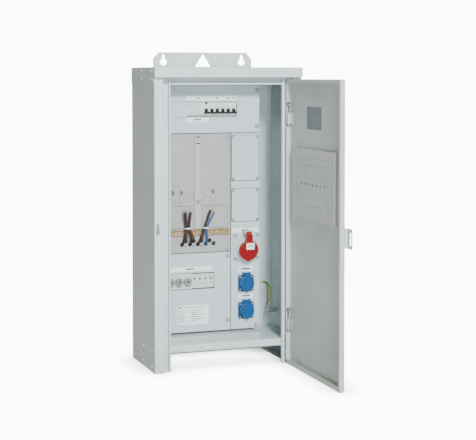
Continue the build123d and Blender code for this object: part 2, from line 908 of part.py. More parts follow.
# Terminal rail: yellow passivated channel across the board.
z_low = terminal_rail_z - terminal_rail_height / 2
z_high = terminal_rail_z + terminal_rail_height / 2
y_brim = y_cover - terminal_rail_depth
terminal_rail = folded_beam(
    [
        (y_brim + rail_sheet, z_high),
        (y_brim + rail_sheet, z_high - 4),
        (y_cover, z_high - 4),
        (y_cover, z_low + 4),
        (y_brim + rail_sheet, z_low + 4),
        (y_brim + rail_sheet, z_low),
    ][::-1],
    rail_sheet,
    -cover_left + 8,
    field_right + 2,
    rail_fold,
)
y_channel = y_cover - rail_sheet
rail_screw_x = (-129.5, meter_rail_x, -10.0)
for x in rail_screw_x:
    screws.append(pan_screw(x, y_channel, terminal_rail_z, 3.4))

# Meter tails: stiff cores that come out of the board, cross the terminal
# rail and stand fanned above their ties with bare ends.
y_outer = y_cover - tail_front
y_inner = y_outer + tail_layer
tail_slope = 0.6
left_tie_x = -107.5
right_tie_x = -51.5
routes = {
    "black": [
        (hole_x[0], wire_hole_z, y_outer, left_tie_x - 4.6, -120.5, 468.0),
        (hole_x[1], wire_hole_z, y_outer, left_tie_x + 2.2, -100.5, 469.0),
        (hole_x[2], wire_hole_z, y_outer, right_tie_x - 3.2, -37.0, 474.0),
    ],
    "brown": [
        (upper_x[0], wire_hole_z + wire_hole_rise, y_inner, left_tie_x - 1.8, -112.0, 468.0),
        (upper_x[1], wire_hole_z + wire_hole_rise, y_inner, left_tie_x + 5.0, -96.0, 470.0),
        (upper_x[2], wire_hole_z + wire_hole_rise, y_inner, right_tie_x - 0.4, -31.0, 476.0),
    ],
    "blue": [
        (hole_x[3], wire_hole_z, y_outer, right_tie_x + 3.2, -24.5, 467.0),
    ],
}


def tail_points(x_hole, z_hole, y_run, x_tie, x_tip, z_tip):
    """Route of one meter tail, from behind the board to the end of its sheath."""
    back = 9.0
    rise = (y_cover - y_run) * tail_slope
    return [
        (x_hole, y_cover + back, z_hole - back * tail_slope),
        (x_hole, y_run, z_hole + rise),
        (x_tie, y_run, tail_tie_z),
        (x_tip, y_run - 1.5, z_tip),
    ]


def corner_radii(points, share=0.45):
    """Largest arc at each corner that leaves both of its runs room."""
    radii = []
    for a, b, c in zip(points, points[1:], points[2:]):
        run_in = Vector(*b) - Vector(*a)
        run_out = Vector(*c) - Vector(*b)
        turn = math.radians(run_in.get_angle(run_out))
        radii.append(share * min(run_in.length, run_out.length) / math.tan(turn / 2))
    return radii


def tube(points, diameter, name):
    """Round lead along straight runs joined by tangent arcs."""
    radii = corner_radii(points)
    path = FilletPolyline(*points, radius=radii)
    start = Plane(origin=path @ 0, z_dir=path % 0)
    lead = sweep(start * Circle(diameter / 2), path=path)
    section = math.pi * diameter**2 / 4
    print(name, "radii", [round(r, 1) for r in radii], "length", round(path.length, 1),
          "volume share", round(lead.volume / (section * path.length), 4))
    return lead


tails = {}
bare_ends = []
for colour, wires in routes.items():
    tails[colour] = []
    for wire in wires:
        points = tail_points(*wire)
        tails[colour].append(tube(points, tail_diameter, f"meter tail {colour}"))
        way = (Vector(*points[-1]) - Vector(*points[-2])).normalized()
        bare_ends.append(bar(points[-1], tuple(way), tail_bare, tail_bare_length))

# Cable ties, drawn tight round both bundles.
def tie(wires):
    """Flat tie band with its locking head, as wide as the wires it holds."""
    zs = (tail_tie_z - tie_width / 2, tail_tie_z + tie_width / 2)
    slab = block((-x_wall, x_wall), (y_front, 0), zs)
    held = Compound(children=[(wire & slab).solids()[0] for wire in wires]).bounding_box()
    xs = (held.min.X - tie_gap, held.max.X + tie_gap)
    ys = (held.min.Y - tie_gap, held.max.Y + tie_gap)
    band = block((xs[0] - 1, xs[1] + 1), (ys[0] - 1, ys[1] + 1), zs)
    band -= block(xs, ys, (zs[0] - 1, zs[1] + 1))
    middle = (xs[0] + xs[1]) / 2
    head = block((middle - 2.6, middle + 2.6), (ys[0] - 4, ys[0] - 1), (zs[0] - 1, zs[1] + 1))
    return band + head


left_bundle = tails["black"][:2] + tails["brown"][:2]
right_bundle = [tails["black"][2], tails["brown"][2], tails["blue"][0]]
cable_ties = group([tie(left_bundle), tie(right_bundle)])

# Turn clips at the edges of the covers.
clip_places = {
    "clip_top_upper": (cover_right - 8.5, cover_top - 31.0),
    "clip_top_lower": (cover_right - 8.5, top_split + 20.7),
    "clip_board_upper": (x_column - 10.5, top_split - 12.3),
    "clip_board_lower": (x_column - 10.5, low_split + 10.7),
    "clip_lower_upper": (x_column - 11.0, low_split - 12.8),
    "clip_lower_bottom": (x_column - 11.0, cover_bottom + 30.8),
    "clip_column_bottom": (cover_right - 11.5, cover_bottom + 9.3),
}
clips = {}
for name, (x, z) in clip_places.items():
    half = clip_width / 2
    head = block((x - half, x + half), (y_cover - clip_rise, y_cover), (z - half, z + half))
    head = fillet(head.edges().filter_by(Axis.Y), clip_corner)
    head = chamfer(head.edges().group_by(Axis.Y)[0], 0.8)
    wing = block(
        (x - half + 2.0, x + half - 2.0),
        (y_cover - clip_rise - clip_wing, y_cover - clip_rise),
        (z - 1.2, z + 1.2),
    )
    clips[name] = head + wing

# Three-phase socket: square flange, round housing leaning down, insert with
# its contact holes, and a sprung lid that hangs from two lugs.
lean = Plane(
    origin=(three_x, y_cover, three_axis_z),
    x_dir=(1, 0, 0),
    z_dir=(0, -math.cos(math.radians(three_tilt)), -math.sin(math.radians(three_tilt))),
)
half_flange = three_flange / 2
flange = block(
    (three_x - half_flange, three_x + half_flange),
    (y_cover - three_plate, y_cover),
    (three_flange_z - half_flange, three_flange_z + half_flange),
)
flange = fillet(flange.edges().filter_by(Axis.Y), 8.0)
flange = fillet(flange.edges().group_by(Axis.Y)[0], 1.5)
below = block((-x_wall, x_wall), (y_cover, 0), (0, case_height))
base_radius = three_collar_radius + 8.0
base = Pos(three_x, y_cover - three_plate, three_axis_z) * Rot(90, 0, 0) * Cone(
    base_radius, three_collar_radius + 3.5, 7.0, align=(Align.CENTER, Align.CENTER, Align.MIN)
)
collar = lean * Cylinder(
    three_collar_radius, three_collar_length, align=(Align.CENTER, Align.CENTER, Align.MIN)
)
bore_radius = three_collar_radius - three_collar_wall
pot = lean * (Pos(0, 0, 6) * Cylinder(bore_radius, 40, align=(Align.CENTER, Align.CENTER, Align.MIN)))
three_socket = flange + base + (collar - below) - pot
lug_in = three_neck_width / 2 + 0.5
lug_y = y_cover - three_hinge_reach
for side in (-1, 1):
    xs = (three_x + side * lug_in, three_x + side * (lug_in + 3.5))
    lug = block(xs, (lug_y, y_cover - three_plate + 1), (three_hinge_z - 4.5, three_hinge_z + 3.5))
    lug += bar((min(xs), lug_y, three_hinge_z - 0.5), (1, 0, 0), 4.0, 3.5)
    lug += block(xs, (y_cover - three_plate, y_cover), (three_flange_z + half_flange - 6, three_hinge_z + 3.5))
    three_socket += lug
hinge_bore = bar(
    (three_x - 20, lug_y, three_hinge_z - 0.5), (1, 0, 0), lid_pin_radius, 40
)
three_socket -= hinge_bore

three_insert = lean * (
    Pos(0, 0, 6) * Cylinder(three_insert_radius, 7, align=(Align.CENTER, Align.CENTER, Align.MIN))
)
for pole in range(5):
    angle = math.radians(72 * pole - 90)
    hole_radius = 3.6 if pole == 0 else 3.0
    hole = Pos(12.5 * math.cos(angle), 12.5 * math.sin(angle), 8)
    three_insert -= lean * (
        hole * Cylinder(hole_radius, 20, align=(Align.CENTER, Align.CENTER, Align.MIN))
    )

lid_seat = three_collar_length + lid_gap
beak = make_face(Polyline((-14, -26), (14, -26), (0, -36), close=True))
neck_top = three_hinge_z - three_axis_z
neck = make_face(
    Polyline(
        (-11.5, 24), (11.5, 24), (three_neck_width / 2, neck_top), (-three_neck_width / 2, neck_top), close=True
    )
)
disc = extrude(Circle(three_lid_radius), amount=three_lid_thick)
disc = fillet(disc.edges().group_by(Axis.Z)[-1], 1.5)
lid = lean * (Pos(0, 0, lid_seat) * (disc + extrude(beak, amount=three_lid_thick - 1.5)))
neck_solid = lean * (Pos(0, 0, lid_seat) * extrude(neck, amount=three_lid_thick - 1))
neck_trim = block((-x_wall, x_wall), (y_front, y_cover), (three_hinge_z - 6.5, case_height))
lid += neck_solid - neck_trim
neck_arm_points = [
    (y_cover - 33.6, three_hinge_z - 18),
    (y_cover - 27.8, three_hinge_z - 18),
    (lug_y + 4.0, three_hinge_z - 1.5),
    (lug_y + 2.4, three_hinge_z + 3.2),
    (lug_y - 2.6, three_hinge_z + 3.2),
]
lid += prism_x(
    neck_arm_points, three_x - three_neck_width / 2, three_x + three_neck_width / 2
)
lid += lean * (
    Pos(0, 0, lid_seat - 0.01)
    * Cylinder(three_collar_radius, 0.5, align=(Align.CENTER, Align.CENTER, Align.MIN))
)
lid -= bar(
    (three_x - 20, lug_y, three_hinge_z - 0.5), (1, 0, 0), lid_pin_radius + pin_clearance, 40
)
three_lid = lid

# Domestic sockets: square plate with a round pot, and a lid on a pin at the top.
domestic_bodies = []
domestic_lids = []
hinge_y_lid = y_cover - domestic_hinge_reach
for centre in domestic_z:
    half = domestic_flange / 2
    plate = block(
        (domestic_x - half, domestic_x + half), (y_cover - domestic_plate, y_cover), (centre - half, centre + half)
    )
    plate = fillet(plate.edges().filter_by(Axis.Y), 6.0)
    plate = fillet(plate.edges().group_by(Axis.Y)[0], 1.2)
    start = (domestic_x, y_cover, centre)
    rim_radius = domestic_pot_radius + domestic_rim
    plate += bar(start, (0, -1, 0), rim_radius, domestic_plate + domestic_rim_length)
    plate += bar(start, (0, 1, 0), rim_radius - 0.3, 11)
    mouth = (domestic_x, y_cover - domestic_plate - domestic_rim_length - 1, centre)
    plate -= bar(mouth, (0, 1, 0), domestic_pot_radius, 18)
    pin_z = centre + domestic_hinge_rise
    for side in (-1, 1):
        for x_hole in (9.5,):
            contact = (domestic_x + side * x_hole, y_cover, centre)
            plate -= bar(contact, (0, 1, 0), 2.5, 9)
        knuckle = domestic_hinge_width / 2 - 4.0
        xs = (domestic_x + side * knuckle, domestic_x + side * (knuckle + 4.0))
        lug = block(xs, (hinge_y_lid, y_cover), (centre + half - 3, pin_z))
        lug += bar((min(xs), hinge_y_lid, pin_z), (1, 0, 0), 3.0, 4.0)
        lug += block(xs, (hinge_y_lid, y_cover), (pin_z - 1, pin_z + 3.0))
        plate += lug
    pin_way = bar((domestic_x - 20, hinge_y_lid, pin_z), (1, 0, 0), lid_pin_radius, 40)
    domestic_bodies.append(plate - pin_way)
    lid_y = y_cover - domestic_plate - domestic_rim_length - lid_gap
    cover = bar((domestic_x, lid_y, centre), (0, -1, 0), domestic_lid_radius, domestic_lid_thick)
    cover = fillet(cover.edges().group_by(Axis.Y)[0], 1.6)
    knuckle = domestic_hinge_width / 2 - 4.3
    xs = (domestic_x - knuckle, domestic_x + knuckle)
    arm = block(xs, (lid_y - 3.2, lid_y), (centre + 15, pin_z))
    arm += block(xs, (lid_y - 3.2, hinge_y_lid), (pin_z - 2.0, pin_z + 3.0))
    arm += bar((min(xs), hinge_y_lid, pin_z), (1, 0, 0), 3.0, 2 * knuckle)
    cover += arm
    cover += block(
        (domestic_x - 5, domestic_x + 5), (lid_y - 3.5, lid_y), (centre - domestic_lid_radius - 3, centre - 15)
    )
    way = bar((domestic_x - 20, hinge_y_lid, pin_z), (1, 0, 0), lid_pin_radius + pin_clearance, 40)
    domestic_lids.append(cover - way)

# Pins of the three lids, pressed into the lugs.
lid_pins = [bar((three_x - lug_in - 3.5, lug_y, three_hinge_z - 0.5), (1, 0, 0), lid_pin_radius, 2 * lug_in + 7)]
for centre in domestic_z:
    start = (domestic_x - domestic_hinge_width / 2, hinge_y_lid, centre + domestic_hinge_rise)
    lid_pins.append(bar(start, (1, 0, 0), lid_pin_radius, domestic_hinge_width))

# Earth terminal on the right wall: welded stud, washer, lug and wing nut,
# with the lead that comes round from the upright.
stud_x = x_tray
stud = bar((stud_x, earth_y, earth_z), (-1, 0, 0), earth_stud, earth_stud_length)
collar_x = stud_x - earth_collar
stud += bar((stud_x, earth_y, earth_z), (-1, 0, 0), 8.0, earth_collar)
lug_x = collar_x - lug_thick
nut = bar((lug_x, earth_y, earth_z), (-1, 0, 0), 7.5, 7.0)
for side in (-1, 1):
    wing = block(
        (lug_x - 13.0, lug_x - 1.0),
        (earth_y - 1.3, earth_y + 1.3),
        (earth_z + side * 5.0, earth_z + side * 15.0),
    )
    nut += fillet(wing.edges().filter_by(Axis.Y), 2.5)
nut -= bar((stud_x, earth_y, earth_z), (-1, 0, 0), earth_stud + 0.02, 60)
lead_end_z = earth_z + 24.0
eye = bar((collar_x, earth_y, earth_z), (-1, 0, 0), 8.0, lug_thick)
eye += block((lug_x, collar_x), (earth_y - 4.0, earth_y + 4.0), (earth_z, lead_end_z - 6))
eye += bar((lug_x + lug_thick / 2 - 2.4, earth_y, lead_end_z - 12), (0, 0, 1), 3.6, 12.0)
eye -= bar((stud_x, earth_y, earth_z), (-1, 0, 0), earth_stud + 0.1, 60)
lead_x = lug_x + lug_thick / 2 - 2.4
anchor_z = 236.0
anchor_y = y_upright + 34.0
earth_points = [
    (x_up_right + 3.0, anchor_y, anchor_z),
    (x_up_right + 29.0, anchor_y, anchor_z),
    (lead_x - 12.0, earth_y - 20.0, anchor_z - 16.0),
    (lead_x, earth_y, anchor_z - 44.0),
    (lead_x, earth_y, lead_end_z),
]
earth_wire = tube(earth_points, earth_lead, "earth lead")
anchor = block(
    (x_up_right, x_up_right + 3.0), (anchor_y - 7, anchor_y + 7), (anchor_z - 7, anchor_z + 7)
)
earth_terminal = group([stud, nut, eye, anchor])

# Door: one pan with its edges folded back, return lips on three sides, and
# notches in the hinge edge that the frame's ears reach through.
x_latch = hinge_x + hinge_from_edge - door_width
x_hang = hinge_x + hinge_from_edge
y_lip = skin_y + door_depth
door = block((x_latch, x_hang), (skin_y, y_lip), (door_bottom, door_top))
door = fillet(door.edges().group_by(Axis.Y)[0], door_fold)
door -= block(
    (x_latch + door_sheet, x_hang - door_sheet),
    (skin_y + door_sheet, y_lip + 1),
    (door_bottom + door_sheet, door_top - door_sheet),
)
lips = block(
    (x_latch, x_hang - door_sheet), (y_lip - door_sheet, y_lip), (door_bottom, door_top)
)
lips -= block(
    (x_latch + door_lip, x_hang), (y_lip - 5, y_lip + 5), (door_bottom + door_lip, door_top - door_lip)
)
door += lips
ear_levels = [z - level for z in hinge_tops for level in (ear_thick, ear_span)]
for z_ear in ear_levels:
    door -= block(
        (x_hang - 2 * door_sheet, x_hang + 1),
        (y_lip - notch_depth, y_lip + 1),
        (z_ear - notch_margin, z_ear + ear_thick + notch_margin),
    )

# Hinges: pins stand in the ears of two brackets on the right stile, and the
# door's barrels turn on them.
ears = []
pins = []
barrels = []
for z_top in hinge_tops:
    z_lower = z_top - ear_span
    bracket = block(
        (hinge_x - ear_half_width, hinge_x + ear_half_width), (y_frame - 2.5, y_frame), (z_lower - 6, z_top)
    )
    for z_ear in (z_top - ear_thick, z_lower):
        bracket += block(
            (hinge_x - ear_half_width, hinge_x + ear_half_width), (hinge_y, y_frame), (z_ear, z_ear + ear_thick)
        )
        bracket += bar((hinge_x, hinge_y, z_ear), (0, 0, 1), ear_half_width, ear_thick)
    bracket -= bar((hinge_x, hinge_y, z_lower - 10), (0, 0, 1), pin_radius, ear_span + 20)
    ears.append(bracket)
    pin = bar((hinge_x, hinge_y, z_lower - 3), (0, 0, 1), pin_radius, ear_span + 3)
    head = bar((hinge_x, hinge_y, z_top), (0, 0, 1), pin_radius + 1.2, pin_head)
    lever = hinge_from_skin - door_sheet - 0.6
    head += block((hinge_x - 1.2, hinge_x + 1.2), (hinge_y - lever, hinge_y), (z_top + 2, z_top + pin_head))
    pins.append(pin + head)
    z_barrel = z_lower + ear_thick + lid_gap
    barrel = bar((hinge_x, hinge_y, z_barrel), (0, 0, 1), barrel_radius, barrel_length)
    barrel += block(
        (hinge_x - 14, hinge_x), (skin_y + door_sheet, skin_y + door_sheet + 2.5), (z_barrel, z_barrel + barrel_length)
    )
    barrel += block(
        (hinge_x - 3, hinge_x + 3), (skin_y + door_sheet, hinge_y), (z_barrel, z_barrel + barrel_length)
    )
    barrel -= bar((hinge_x, hinge_y, z_barrel - 1), (0, 0, 1), pin_radius + pin_clearance, barrel_length + 2)
    barrels.append(barrel)

# Hasp: a stepped plate on the door's latch edge; its slot passes over the
# staple on the left post, and a padlock goes through the staple's eye.
z_hasp = (lock_z - hasp_height / 2, lock_z + hasp_height / 2)
y_plate = skin_y - hasp_step
hasp = folded_wall(
    [
        (x_latch - hasp_reach, y_plate),
        (x_latch - hasp_sheet, y_plate),
        (x_latch - hasp_sheet, skin_y),
        (x_latch + hasp_leg, skin_y),
    ][::-1],
    hasp_sheet,
    *z_hasp,
)
slot_x = x_latch - hasp_slot_from_edge
slot_cut = block(
    (slot_x - hasp_slot_width / 2, slot_x + hasp_slot_width / 2),
    (y_plate - 10, skin_y - 0.5),
    (lock_z - hasp_slot_height / 2, lock_z + hasp_slot_height / 2),
)
hasp -= fillet(slot_cut.edges().filter_by(Axis.Y), 2.0)

z_staple = (lock_z - staple_height / 2, lock_z + staple_height / 2)
staple = block(
    (slot_x - staple_thick / 2, slot_x + staple_thick / 2), (y_front - staple_reach, y_front), z_staple
)
staple = fillet(staple.edges().filter_by(Axis.X).group_by(Axis.Y)[0], 11.0)
staple += block(
    (slot_x - staple_thick / 2, slot_x + staple_thick / 2 + 7.0), (y_front - staple_foot / 2, y_front), z_staple
)
eye_y = y_front - staple_reach + 8.5
staple -= bar((slot_x - 10, eye_y, lock_z), (1, 0, 0), staple_eye, 20)

# Document pocket: a thin folded tray glued inside the door, open at the top.
x_pocket = (hinge_x - pocket_from_hinge[1], hinge_x - pocket_from_hinge[0])
y_skin_in = skin_y + door_sheet
pocket = block(x_pocket, (y_skin_in, y_skin_in + pocket_depth), pocket_z)
pocket -= block(
    (x_pocket[0] + pocket_sheet, x_pocket[1] - pocket_sheet),
    (y_skin_in + pocket_sheet, y_skin_in + pocket_depth - pocket_sheet),
    (pocket_z[0] + pocket_sheet, pocket_z[1] + 1),
)

# The door and what it carries stand open, turned about the hinge axis.
swing = Pos(hinge_x, hinge_y, 0) * Rot(0, 0, open_angle) * Pos(-hinge_x, -hinge_y, 0)

save("side_wall_left", side_wall_left)
save("side_wall_right", side_wall_right)
save("rear_wall", rear_wall)
save("roof", roof)
save("lintel", lintel)
save("floor_tray", floor_tray)
save("foot_angles", foot_angles)
save("case_rivets", case_rivets)
save("panel_uprights", panel_uprights)
save("top_cover", top_cover)
save("lower_cover", lower_cover)
save("socket_column", socket_column)
save("blank_covers", blank_covers)
save("panel_screws", group(screws))
save("residual_current_device", residual_device)
save("residual_current_toggle", residual_toggle)
save("test_button", test_button)
save("three_pole_breaker", three_pole_breaker)
save("three_pole_toggle", three_pole_toggle)
save("single_breakers", group(single_bodies))
save("single_toggle_left", single_toggles[0])
save("single_toggle_right", single_toggles[1])
save("blanking_strip", strip)
save("device_rails", device_rails)
save("fuse_base", fuse_base)
for name, cap in zip(("fuse_cap_left", "fuse_cap_middle", "fuse_cap_right"), fuse_caps):
    save(name, cap)
save("surge_arrester", surge_arrester)
save("meter_board", meter_board)
save("meter_rail", meter_rail)
save("terminal_rail", terminal_rail)
for colour, wires in tails.items():
    save(f"meter_tails_{colour}", group(wires))
save("tail_ends", group(bare_ends))
save("cable_ties", cable_ties)
for name, clip in clips.items():
    save(name, clip)
save("three_phase_socket", three_socket)
save("three_phase_insert", three_insert)
save("three_phase_lid", three_lid)
save("domestic_sockets", group(domestic_bodies))
save("domestic_lid_upper", domestic_lids[0])
save("domestic_lid_lower", domestic_lids[1])
save("lid_pins", group(lid_pins))
save("earth_terminal", earth_terminal)
save("earth_lead", earth_wire)
save("door_pan", swing * door)
save("hinge_brackets", group(ears))
save("hinge_pins", group(pins))
save("hinge_barrels", swing * group(barrels))
save("hasp", swing * hasp)
save("staple", staple)
save("document_pocket", swing * pocket)
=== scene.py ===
import math

import bmesh
import bpy
from mathutils import Matrix, Vector


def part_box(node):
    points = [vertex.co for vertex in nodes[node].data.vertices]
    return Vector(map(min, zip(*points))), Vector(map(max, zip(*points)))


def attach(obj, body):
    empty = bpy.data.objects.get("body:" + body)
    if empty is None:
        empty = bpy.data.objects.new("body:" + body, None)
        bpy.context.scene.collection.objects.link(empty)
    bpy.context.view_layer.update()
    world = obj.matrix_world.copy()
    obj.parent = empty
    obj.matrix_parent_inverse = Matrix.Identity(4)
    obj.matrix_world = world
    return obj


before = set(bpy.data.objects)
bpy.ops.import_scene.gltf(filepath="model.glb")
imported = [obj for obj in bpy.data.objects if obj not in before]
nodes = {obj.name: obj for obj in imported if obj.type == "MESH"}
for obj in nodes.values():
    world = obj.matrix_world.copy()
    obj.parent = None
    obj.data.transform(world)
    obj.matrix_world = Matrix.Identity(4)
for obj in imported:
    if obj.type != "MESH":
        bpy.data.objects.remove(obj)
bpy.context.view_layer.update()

# Viewpoint: a long lens at chest height, left of the cabinet, looking a
# little down, as such a catalogue picture is taken.
camera = bpy.data.objects.new("camera", bpy.data.cameras.new("camera"))
bpy.context.scene.collection.objects.link(camera)
yaw, pitch = math.radians(19.58), math.radians(2.29)
forward = Vector((math.sin(yaw) * math.cos(pitch), math.cos(yaw) * math.cos(pitch), -math.sin(pitch)))
right = Vector((math.cos(yaw), -math.sin(yaw), 0))
up = right.cross(forward)
aim = Matrix((right, up, -forward)).transposed().to_4x4()
camera.matrix_world = Matrix.Translation((-1.2969, -3.90147, 0.88291)) @ aim
photo_width, photo_height = 476, 440
focal_pixels, level_x, level_y = 1296.0, 229.64, 127.12
camera.data.sensor_width = 36
camera.data.lens = 36 * focal_pixels / photo_width
camera.data.shift_x = (photo_width / 2 - level_x) / photo_width
camera.data.shift_y = (level_y - photo_height / 2) / photo_width
camera.data.clip_start, camera.data.clip_end = 0.1, 60
bpy.context.scene.camera = camera

# Studio: a pale paper sweep behind and under the cabinet, one soft light high in
# front and one low, a weak warm fill from the left and a wide light above. The
# paper glows for the camera alone, dimmed by occlusion where it meets the
# cabinet as a painted contact shadow.
def add(tree, kind, **settings):
    """New node with its settings and the default values of its inputs."""
    node = tree.nodes.new(kind)
    for key, value in settings.items():
        if key.startswith("in_"):
            place = int(key[3:]) if key[3:].isdigit() else key[3:].replace("_", " ")
            node.inputs[place].default_value = value
        else:
            setattr(node, key, value)
    return node


def math_node(tree, operation, first, second):
    """Result of one calculation; either side may be a number."""
    node = add(tree, "ShaderNodeMath", operation=operation)
    for place, value in enumerate((first, second)):
        if isinstance(value, (int, float)):
            node.inputs[place].default_value = value
        else:
            tree.links.new(value, node.inputs[place])
    return node.outputs[0]


bend_start, bend_radius = 2.6, 2.4
sweep_points = [(-9, 0), (bend_start, 0)]
for step in range(1, 13):
    angle = math.radians(7.5 * step)
    out, rise = bend_radius * math.sin(angle), bend_radius - bend_radius * math.cos(angle)
    sweep_points.append((bend_start + out, rise))
sweep_points.append((bend_start + bend_radius, 9.0))
sweep_mesh = bpy.data.meshes.new("paper_sweep")
sweep_verts = [(x, y, z) for y, z in sweep_points for x in (-9, 9)]
sweep_faces = [(2 * i, 2 * i + 1, 2 * i + 3, 2 * i + 2) for i in range(len(sweep_points) - 1)]
sweep_mesh.from_pydata(sweep_verts, [], sweep_faces)
sweep_mesh.shade_smooth()
sweep = bpy.data.objects.new("paper_sweep", sweep_mesh)
bpy.context.scene.collection.objects.link(sweep)
paper_sweep = bpy.data.materials.new("paper_sweep")
paper_sweep.use_nodes = True
paper_tree = paper_sweep.node_tree
paper = paper_tree.nodes["Principled BSDF"]
paper.inputs["Base Color"].default_value = (0.62, 0.62, 0.61, 1)
paper.inputs["Roughness"].default_value = 0.95
paper.inputs["Specular IOR Level"].default_value = 0.1
paper.inputs["Emission Color"].default_value = (1, 1, 1, 1)
# Occlusion dims the paper's glow round the cabinet: a painted contact shadow.
painted_contact_shadow = add(paper_tree, "ShaderNodeAmbientOcclusion", in_Distance=0.09).outputs["AO"]
camera_ray = add(paper_tree, "ShaderNodeLightPath").outputs["Is Camera Ray"]
glow = math_node(paper_tree, "MULTIPLY", math_node(paper_tree, "POWER", painted_contact_shadow, 2.0), camera_ray)
glow = math_node(paper_tree, "MULTIPLY", glow, 11.0)
paper_tree.links.new(glow, paper.inputs["Emission Strength"])
sweep_mesh.materials.append(paper_sweep)


def soft_light(name, place, target, size, energy, color):
    """Square light that faces a point."""
    light = bpy.data.lights.new(name, "AREA")
    light.shape, light.size, light.energy, light.color = "SQUARE", size, energy, color
    lamp = bpy.data.objects.new(name, light)
    bpy.context.scene.collection.objects.link(lamp)
    lamp.location = place
    lamp.rotation_euler = (Vector(target) - Vector(place)).to_track_quat("-Z", "Y").to_euler()


soft_light("front_light", (-0.35, -5.4, 3.6), (0, -0.2, 0.5), 0.9, 560, (0.92, 0.98, 1.0))
soft_light("low_front_light", (-0.9, -4.8, 0.9), (0, -0.1, 0.5), 0.8, 105, (0.95, 0.99, 1.0))
soft_light("left_fill", (-4.5, -1.2, 1.2), (0, 0, 0.5), 2.2, 7, (1.0, 0.66, 0.42))
soft_light("top_light", (0.2, 0.6, 4.2), (0, 0, 0.4), 3.0, 60, (1.0, 1.0, 1.0))
world = bpy.data.worlds.new("studio")
world.use_nodes = True
world.node_tree.nodes["Background"].inputs["Color"].default_value = (1.0, 0.93, 0.85, 1)
world.node_tree.nodes["Background"].inputs["Strength"].default_value = 0.19
bpy.context.scene.world = world


# Case: folded sheet steel, degreased and powder coated in a light grey. The
# coat has a fine orange peel, drifts a little in tone and is scuffed low down.
def effect(name, inputs):
    """New shader node group that gives a colour, a roughness and a height."""
    tree = bpy.data.node_groups.new(name, "ShaderNodeTree")
    for label, kind, value in inputs:
        tree.interface.new_socket(label, in_out="INPUT", socket_type=kind).default_value = value
    tree.interface.new_socket("Color", in_out="OUTPUT", socket_type="NodeSocketColor")
    for label in ("Roughness", "Height"):
        tree.interface.new_socket(label, in_out="OUTPUT", socket_type="NodeSocketFloat")
    return tree, tree.nodes.new("NodeGroupInput"), tree.nodes.new("NodeGroupOutput")


def place_on_object(tree, scale):
    """Object coordinates, stretched by the three factors of scale."""
    coordinates = add(tree, "ShaderNodeTexCoord")
    mapping = add(tree, "ShaderNodeMapping")
    mapping.inputs["Scale"].default_value = scale
    tree.links.new(coordinates.outputs["Object"], mapping.inputs["Vector"])
    return mapping.outputs["Vector"]


def noise(tree, vector, scale, detail=2.0, roughness=0.5):
    """Noise value over the given coordinates."""
    node = add(tree, "ShaderNodeTexNoise", in_Scale=scale, in_Detail=detail, in_Roughness=roughness)
    tree.links.new(vector, node.inputs["Vector"])
    return node.outputs["Fac"]


def rescale(tree, value, low, high, to_low=0.0, to_high=1.0):
    """Value moved from one range to another and clamped."""
    node = add(tree, "ShaderNodeMapRange", in_1=low, in_2=high, in_3=to_low, in_4=to_high)
    tree.links.new(value, node.inputs[0])
    return node.outputs[0]


def mix_color(tree, factor, first, second):
    """Colour between two colours, each a socket or four numbers."""
    node = add(tree, "ShaderNodeMix", data_type="RGBA")
    tree.links.new(factor, node.inputs[0])
    for place, value in ((6, first), (7, second)):
        if isinstance(value, tuple):
            node.inputs[place].default_value = value
        else:
            tree.links.new(value, node.inputs[place])
    return node.outputs[2]


def coated_steel_effect():
    """Powder coat over sheet steel: tone drift, orange peel, scratches and grime."""
    tree, inlet, outlet = effect(
        "coated_steel",
        [
            ("Coat", "NodeSocketColor", (0.7, 0.72, 0.72, 1)),
            ("Drift", "NodeSocketColor", (0.62, 0.64, 0.64, 1)),
            ("Wear", "NodeSocketFloat", 0.3),
            ("Grime", "NodeSocketFloat", 0.3),
        ],
    )
    flat = place_on_object(tree, (1, 1, 1))
    cloud = rescale(tree, noise(tree, flat, 5.0, 4.0), 0.35, 0.7)
    peel = noise(tree, flat, 850.0, 2.0)
    long_way = place_on_object(tree, (40, 40, 2))
    scratch = rescale(tree, noise(tree, long_way, 9.0, 3.0, 0.7), 0.69, 0.75)
    scratch = math_node(tree, "MULTIPLY", scratch, inlet.outputs["Wear"])
    height = add(tree, "ShaderNodeSeparateXYZ")
    tree.links.new(flat, height.inputs[0])
    low = rescale(tree, height.outputs["Z"], 0.0, 0.22, 1.0, 0.0)
    patch = rescale(tree, noise(tree, flat, 26.0, 5.0, 0.65), 0.42, 0.72)
    grime = math_node(tree, "MULTIPLY", math_node(tree, "MULTIPLY", low, patch), inlet.outputs["Grime"])
    color = mix_color(tree, cloud, inlet.outputs["Coat"], inlet.outputs["Drift"])
    color = mix_color(tree, scratch, color, (0.45, 0.45, 0.44, 1))
    color = mix_color(tree, grime, color, (0.33, 0.29, 0.24, 1))
    rough = math_node(tree, "ADD", math_node(tree, "MULTIPLY", cloud, 0.08), 0.36)
    rough = math_node(tree, "ADD", rough, math_node(tree, "MULTIPLY", grime, 0.4))
    bump = math_node(tree, "SUBTRACT", math_node(tree, "MULTIPLY", peel, 0.6), scratch)
    tree.links.new(color, outlet.inputs["Color"])
    tree.links.new(rough, outlet.inputs["Roughness"])
    tree.links.new(bump, outlet.inputs["Height"])
    return tree


def finish_from(name, group, values, bump_strength=0.25, bump_distance=0.0004, **shader):
    """Material whose Principled shader takes colour, roughness and bump from one effect."""
    material = bpy.data.materials.new(name)
    material.use_nodes = True
    tree = material.node_tree
    principled = tree.nodes["Principled BSDF"]
    used = add(tree, "ShaderNodeGroup", node_tree=group)
    for label, value in values.items():
        used.inputs[label].default_value = value
    tree.links.new(used.outputs["Color"], principled.inputs["Base Color"])
    tree.links.new(used.outputs["Roughness"], principled.inputs["Roughness"])
    bump = add(tree, "ShaderNodeBump", in_Strength=bump_strength, in_Distance=bump_distance)
    tree.links.new(used.outputs["Height"], bump.inputs["Height"])
    tree.links.new(bump.outputs["Normal"], principled.inputs["Normal"])
    for label, value in shader.items():
        principled.inputs[label.replace("_", " ")].default_value = value
    return material


